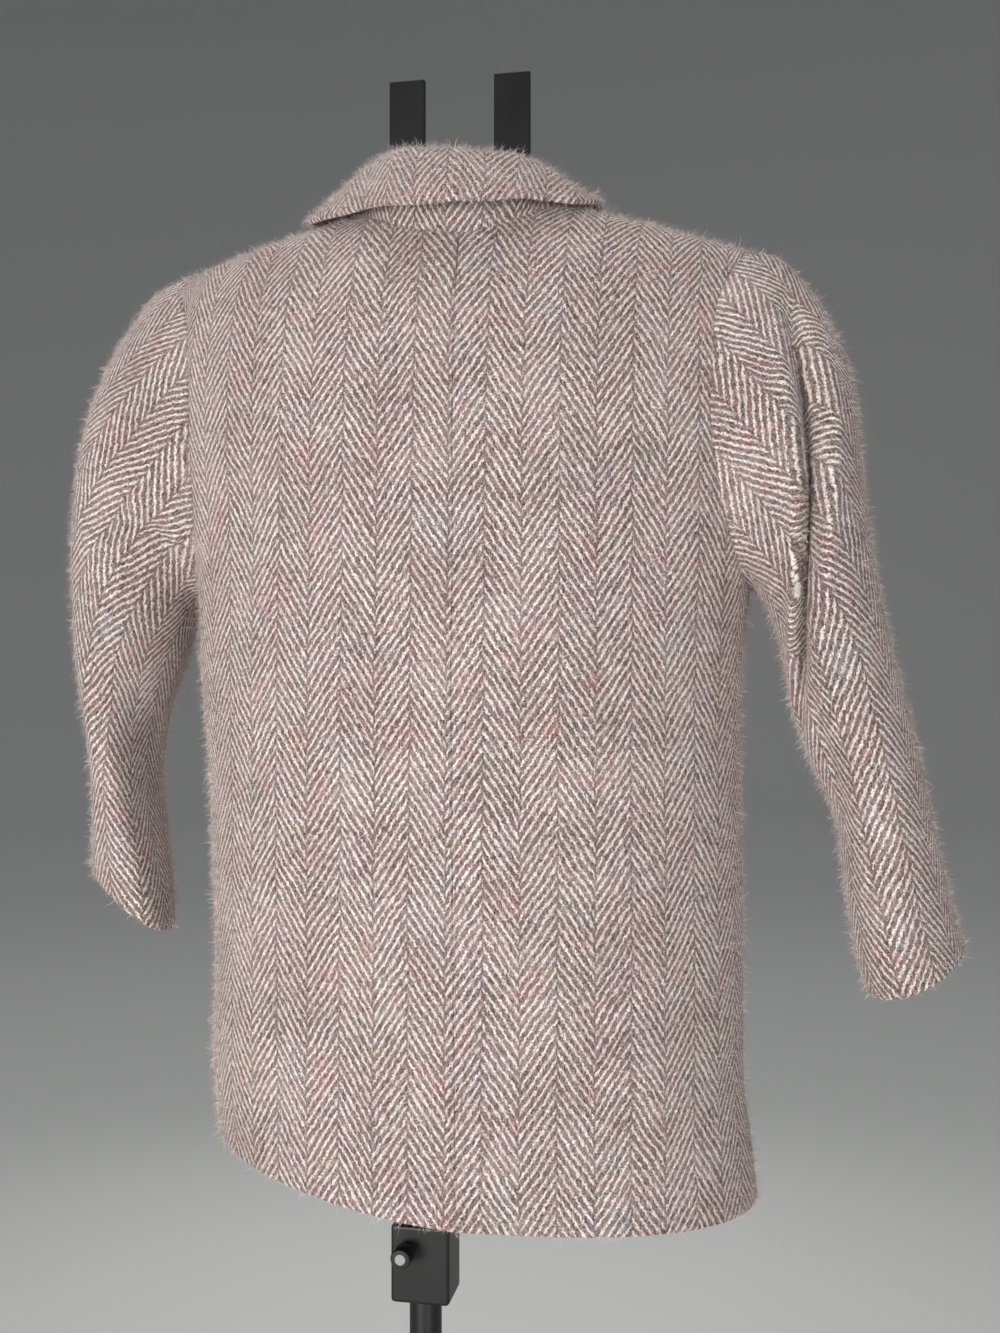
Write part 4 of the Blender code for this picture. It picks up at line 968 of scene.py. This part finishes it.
def two_tone(name, dark, pale, pattern, settings, finish, stops=(0.0, 1.0), grain=None):
    """A material of two shades, mixed by a pattern in the object's own place.
    finish gives the shader's values by name; grain is the scale, detail and
    strength of fine bumps 0.2 mm high."""
    look = bpy.data.materials.new(name)
    look.use_nodes = True
    tree = look.node_tree
    shader = tree.nodes["Principled BSDF"]
    where = node(tree, "ShaderNodeTexCoord", {}).outputs["Object"]
    shade = node(tree, pattern, {**settings, "Vector": where}).outputs["Fac"]
    tone = node(tree, "ShaderNodeValToRGB", {"Fac": shade})
    for stop, at, code in zip(tone.color_ramp.elements, stops, (dark, pale)):
        stop.position, stop.color = at, linear(code)
    tree.links.new(tone.outputs["Color"], shader.inputs["Base Color"])
    if grain:
        scale, detail, strength = grain
        fine = node(tree, "ShaderNodeTexNoise", {
            "Scale": scale, "Detail": detail, "Vector": where})
        raised = node(tree, "ShaderNodeBump", {
            "Strength": strength, "Distance": 0.0002, "Height": fine.outputs["Fac"]})
        tree.links.new(raised.outputs[0], shader.inputs["Normal"])
    for key, value in finish.items():
        if isinstance(value, tuple):        # from one value to the other with the shades
            value = node(tree, "ShaderNodeMapRange", {
                "To Min": value[0], "To Max": value[1], "Value": shade})
            tree.links.new(value.outputs["Result"], shader.inputs[key])
        else:
            shader.inputs[key].default_value = value
    return look


# cast resin, turned and polished: dark brown with paler drifts and a hard shine
resin = two_tone("polished_horn_resin", "#2a1a1a", "#6b4740", "ShaderNodeTexNoise",
                 {"Scale": 120.0, "Detail": 4.0, "Distortion": 1.2},
                 {"Roughness": 0.22, "IOR": 1.54, "Coat Weight": 0.25}, stops=(0.40, 0.68))
# spun thread in a rose shade; the fine slanting ribs of its twist are painted light and shade, as
# paler and darker stripes in the colour
thread = two_tone("twisted_polyester_thread", "#6f5053", "#b18f8f", "ShaderNodeTexWave",
                  {"Scale": 900.0, "Distortion": 1.0}, {"Roughness": 0.75})


def button_solid(name, spot, normal):
    """A button as rings of points: up the side, over the rim and across the
    dished face, which sinks at four holes.  Gives the button, and the
    directions right and up on its face."""
    right = unit(np.cross((0.0, 0.0, 1.0), normal))
    up = np.cross(normal, right)
    count = 64
    angle = np.arange(count) * 2 * math.pi / count
    share = np.concatenate([np.linspace(1, 0.22, 26), np.linspace(0.205, 0.03, 12)])
    high = interpolate(FACE_COLUMNS, FACE_ROWS, share)["height"] * BUTTON_HEIGHT
    radius = np.concatenate([[0.80, 0.95, 1.0], share])[:, None] * BUTTON_RADIUS
    high = np.concatenate([[0.0, 0.0006, 0.0016], high])
    x, y = radius * np.cos(angle), radius * np.sin(angle)
    z = np.repeat(high[:, None], count, axis=1)
    for hx in (-HOLE_OUT, HOLE_OUT):
        for hy in (-HOLE_OUT, HOLE_OUT):
            near = np.hypot(x - hx, y - hy)
            z = z - HOLE_DEEP * smooth((HOLE_RADIUS - near) / 0.0005) * (radius < 0.008)
    points = spot + x[..., None] * right + y[..., None] * up + z[..., None] * normal
    number = closed(np.arange(x.size).reshape(x.shape))
    below, above = number[0].tolist(), number[-1].tolist()
    faces = (cells(number).tolist()
             + [(x.size, b, a) for a, b in zip(below, below[1:])]
             + [(x.size + 1, a, b) for a, b in zip(above, above[1:])])
    hubs = [points[0].mean(0), points[-1].mean(0)]
    return solid(name, np.concatenate([points.reshape(-1, 3), hubs]), faces, resin), right, up


def stitch(start, end, normal):
    """A short arch of thread from one hole to the next: a tube whose middle
    line is half an oval, as 14 rings of eight points."""
    share = np.linspace(0, 1, 14)
    line = (start + (end - start) * share[:, None]
            + normal * (np.sin(np.pi * share) ** 0.6 * THREAD_ARCH)[:, None])
    ahead = unit(np.gradient(line, axis=0))
    wide = unit(np.cross(ahead, normal))
    tall = np.cross(wide, ahead)
    a = np.arange(8)[None, :, None] * math.pi / 4
    return line[:, None] + THREAD_RADIUS * (np.cos(a) * wide[:, None] + np.sin(a) * tall[:, None])


# the faces of one stitch, and of its two ends
tube = np.arange(14 * 8).reshape(14, 8)
stitch_faces = (cells(closed(tube))[:, [0, 3, 2, 1]].tolist()
                + [tube[0].tolist(), tube[-1][::-1].tolist()])
button_number = 0
for z in BUTTON_Z:
    station = float(np.interp(z, [row[BODY_COLUMNS.index("front_z")] for row in BODY_ROWS],
                              [row[0] for row in BODY_ROWS]))
    for x in (-BUTTON_X, BUTTON_X):
        button_number += 1
        t = front_t(-1, np.array([station]), np.array([-x]))
        spot = front_point(-1, np.array([station]), t)[0]
        normal = body_normal("front", -1, spot[None])[0]
        spot = spot + normal * (HALF + SHANK)
        made, right, up = button_solid("button_turned_%d" % button_number, spot, normal)
        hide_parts("button_%d" % button_number)
        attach(made, "root")
        stitches = []
        for hy in (-HOLE_OUT, HOLE_OUT):
            for off in (-THREAD_APART, THREAD_APART):
                middle = spot + up * (hy + off) + normal * THREAD_UP
                stitches.append(stitch(middle - right * HOLE_OUT, middle + right * HOLE_OUT,
                                       normal))
        faces = [[k + n * tube.size for k in face] for n in range(4) for face in stitch_faces]
        sewn = solid("button_thread_%d" % button_number, np.stack(stitches), faces, thread)
        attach(sewn, "root")

# ------------------------------------------------------------------ the stand
# A display stand of steel with a satin black powder coat: a round base, a tube
# post with a square clamp and its knob, and two flat bars that rise out of the
# neck.
# polyester powder baked on steel: soft highlights, broken by a fine orange-peel
# grain of 0.8 mm
powder_coat = two_tone("satin_black_powder_coat", "#070707", "#121213", "ShaderNodeTexNoise",
                       {"Scale": 18.0, "Detail": 5.0}, {"Roughness": (0.34, 0.50), "IOR": 1.5},
                       grain=(1200.0, 2.0, 0.25))


def turned_solid(name, profile, centre, axis="z", count=96, knurl=0.0, knurl_rows=()):
    """A solid turned from (radius, height) pairs about an axis through centre;
    knurl is the depth of 30 fine ridges round the rows named."""
    angle = np.arange(count) * 2 * math.pi / count
    profile = np.array(profile)
    radius = np.repeat(profile[:, :1], count, axis=1)
    for row in knurl_rows:
        radius[row] += knurl * np.cos(30 * angle)
    x, y = radius * np.cos(angle), radius * np.sin(angle)
    z = np.repeat(profile[:, 1:], count, axis=1)
    points = np.stack([x, y, z], -1) if axis == "z" else np.stack([x, z, -y], -1)
    number = np.arange(x.size).reshape(x.shape)
    faces = cells(closed(number)).tolist() + [number[0][::-1].tolist(), number[-1].tolist()]
    made = solid(name, points, faces, powder_coat, place=centre)
    made.data.set_sharp_from_angle(angle=math.radians(40))
    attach(made, "root")
    return made


def rounded_rim(radius, low_, high_, soft):
    """A disc's profile with a quarter round of radius soft at both rims."""
    a = np.linspace(0, math.pi / 2, 7)
    lower = [(radius - soft + soft * math.sin(k), low_ + soft - soft * math.cos(k)) for k in a]
    upper = [(radius - soft + soft * math.cos(k), high_ - soft + soft * math.sin(k)) for k in a]
    return lower + upper


for name, node_name, radius, soft, count in (
        ("base_disc", "stand_base", 0.170, 0.002, 160),
        ("post_tube", "stand_post", 0.0125, 0.0006, 96),
        ("post_tube_upper", "stand_post_upper", 0.0125, 0.0006, 96)):
    lowest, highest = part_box(node_name)
    piece = turned_solid(name, rounded_rim(radius, lowest[2], highest[2], soft), (0, 0, 0),
                         count=count)
    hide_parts(node_name)

# The knob's profile: its shank, the flare under its head, the ribbed head and
# the round over to its end.
# radius, and how far out
KNOB_ROWS = (
    (0.0050, 0.0000),
    (0.0050, 0.0060),
    (0.0072, 0.0063),
    (0.0078, 0.0070),
    (0.0078, 0.0185),
    (0.0070, 0.0198),
    (0.0040, 0.0200),
)
lowest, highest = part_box("stand_knob")
knob = turned_solid("clamp_knob", KNOB_ROWS,
                    ((lowest[0] + highest[0]) / 2, lowest[1], (lowest[2] + highest[2]) / 2),
                    axis="y", count=120, knurl=0.00022, knurl_rows=(3, 4))
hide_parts("stand_knob")


def even_look(name, code, rough):
    """A material of one colour and one roughness."""
    look = bpy.data.materials.new(name)
    look.use_nodes = True
    shader = look.node_tree.nodes["Principled BSDF"]
    shader.inputs["Base Color"].default_value = linear(code)
    shader.inputs["Roughness"].default_value = rough
    return look


# the knob's end face in a plain pale grey with a soft shine, for a small pale spot at the knob's
# end
knob.data.materials.append(even_look("pale_grey_knob_end", "#9a9c9b", 0.45))
knob.data.polygons[-1].material_index = 1


def bar_solid(name, low_, high_, soft):
    """A bar with rounded edges: a plain block with a bevel of radius soft."""
    corner = [(x, y, z) for x in (low_[0], high_[0]) for y in (low_[1], high_[1])
              for z in (low_[2], high_[2])]
    faces = [(0, 1, 3, 2), (4, 6, 7, 5), (0, 4, 5, 1), (2, 3, 7, 6), (0, 2, 6, 4), (1, 5, 7, 3)]
    made = solid(name, corner, faces, powder_coat, place=(0, 0, 0))
    bevel = made.modifiers.new("edges", "BEVEL")
    bevel.width, bevel.segments = soft, 3
    made.modifiers.new("even", "WEIGHTED_NORMAL")
    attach(made, "root")
    return made


for name, node_name, soft in (("clamp_block", "stand_clamp", 0.003),
                              ("neck_bar_left", "stand_bar_left", 0.0008),
                              ("neck_bar_right", "stand_bar_right", 0.0008)):
    lowest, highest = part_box(node_name)
    piece = bar_solid(name, lowest, highest, soft)
    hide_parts(node_name)

# ------------------------------------------------------------------- the form
# The smooth limbless form inside the coat: a moulded shell in matte black,
# whose shoulders carry the coat.
# moulded polystyrene with a matte lacquer: no gloss, faint cloudy tone
matte_shell = two_tone("matte_black_moulded_shell", "#1a1a1c", "#29292b", "ShaderNodeTexNoise",
                       {"Scale": 9.0, "Detail": 4.0}, {"Roughness": 0.62},
                       grain=(1400.0, 1.0, 0.2))
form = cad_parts["display_form"]
form.data.materials.clear()
form.data.materials.append(matte_shell)

# ------------------------------------------------------------------ the studio
# A pale seamless floor that curves up far behind on all sides, soft lights
# round the camera and above, and the camera level with the coat's middle.
# radius and height
FLOOR_ROWS = (
    (0.01, 0.0),
    (3.0, 0.0),
    (6.0, 0.0),
    (8.0, 0.15),
    (9.5, 0.9),
    (10.4, 2.2),
    (10.8, 4.0),
    (10.9, 7.0),
)
angle = np.arange(96) * 2 * math.pi / 96
reach = np.array(FLOOR_ROWS)
points = np.stack([reach[:, :1] * np.cos(angle), reach[:, :1] * np.sin(angle),
                   np.repeat(reach[:, 1:], 96, axis=1)], -1)
number = closed(np.arange(len(reach) * 96).reshape(-1, 96))
# heavy matte paper: even, with no shine
paper = even_look("pale_backdrop_paper", "#cfd0ce", 0.95)
floor = solid("floor", points, cells(number)[:, [1, 2, 3, 0]].tolist(), paper, place=(0, 0, 0))

world = bpy.data.worlds.new("soft_room")
bpy.context.scene.world = world
world.use_nodes = True
world.node_tree.nodes["Background"].inputs["Color"].default_value = linear("#e4e6e8")
world.node_tree.nodes["Background"].inputs["Strength"].default_value = 0.24
bpy.context.scene.view_settings.view_transform = "Standard"


def soft_light(name, place, aim, size, watts, colour, spread=115):
    """A square area light that points from its place to the aim, with a grid
    that keeps it off the floor beside it."""
    data = bpy.data.lights.new(name, "AREA")
    data.size, data.energy, data.color = size, watts, colour
    data.spread = math.radians(spread)
    made = bpy.data.objects.new(name, data)
    made.location = place
    from_to = np.array(aim) - np.array(place)
    flat_run = math.hypot(from_to[0], from_to[1])
    made.rotation_euler = (math.pi / 2 + math.atan2(from_to[2], flat_run), 0,
                           math.atan2(from_to[1], from_to[0]) - math.pi / 2)
    bpy.context.collection.objects.link(made)


COAT_MIDDLE = (-0.03, 0.0, 1.08)
soft_light("key", (0.80, 2.1, 0.90), COAT_MIDDLE, 0.9, 17.5, (1.0, 0.985, 0.97))
soft_light("fill", (-1.3, 2.1, 0.85), COAT_MIDDLE, 1.2, 9.8, (0.97, 0.98, 1.0))
soft_light("top", (0.0, 0.2, 3.2), COAT_MIDDLE, 1.6, 3, (1.0, 1.0, 1.0), 180)
soft_light("front", (0.6, -2.6, 1.6), COAT_MIDDLE, 1.6, 12.5, (1.0, 0.99, 0.98))
soft_light("room", (0.0, 0.0, 6.5), (0.0, 0.0, 0.0), 5.0, 140, (1.0, 1.0, 1.0), 180)

camera_data = bpy.data.cameras.new("camera")
camera_data.lens = 37.73
camera_data.sensor_width = 36.0
camera = bpy.data.objects.new("camera", camera_data)
camera.location = (-0.2641, 1.0561, 1.10)
CAMERA_AIM = (0.1908, -0.9816)          # the level way it looks, across and back
camera.rotation_euler = (math.pi / 2, 0, math.atan2(CAMERA_AIM[1], CAMERA_AIM[0]) - math.pi / 2)
bpy.context.collection.objects.link(camera)
bpy.context.scene.camera = camera
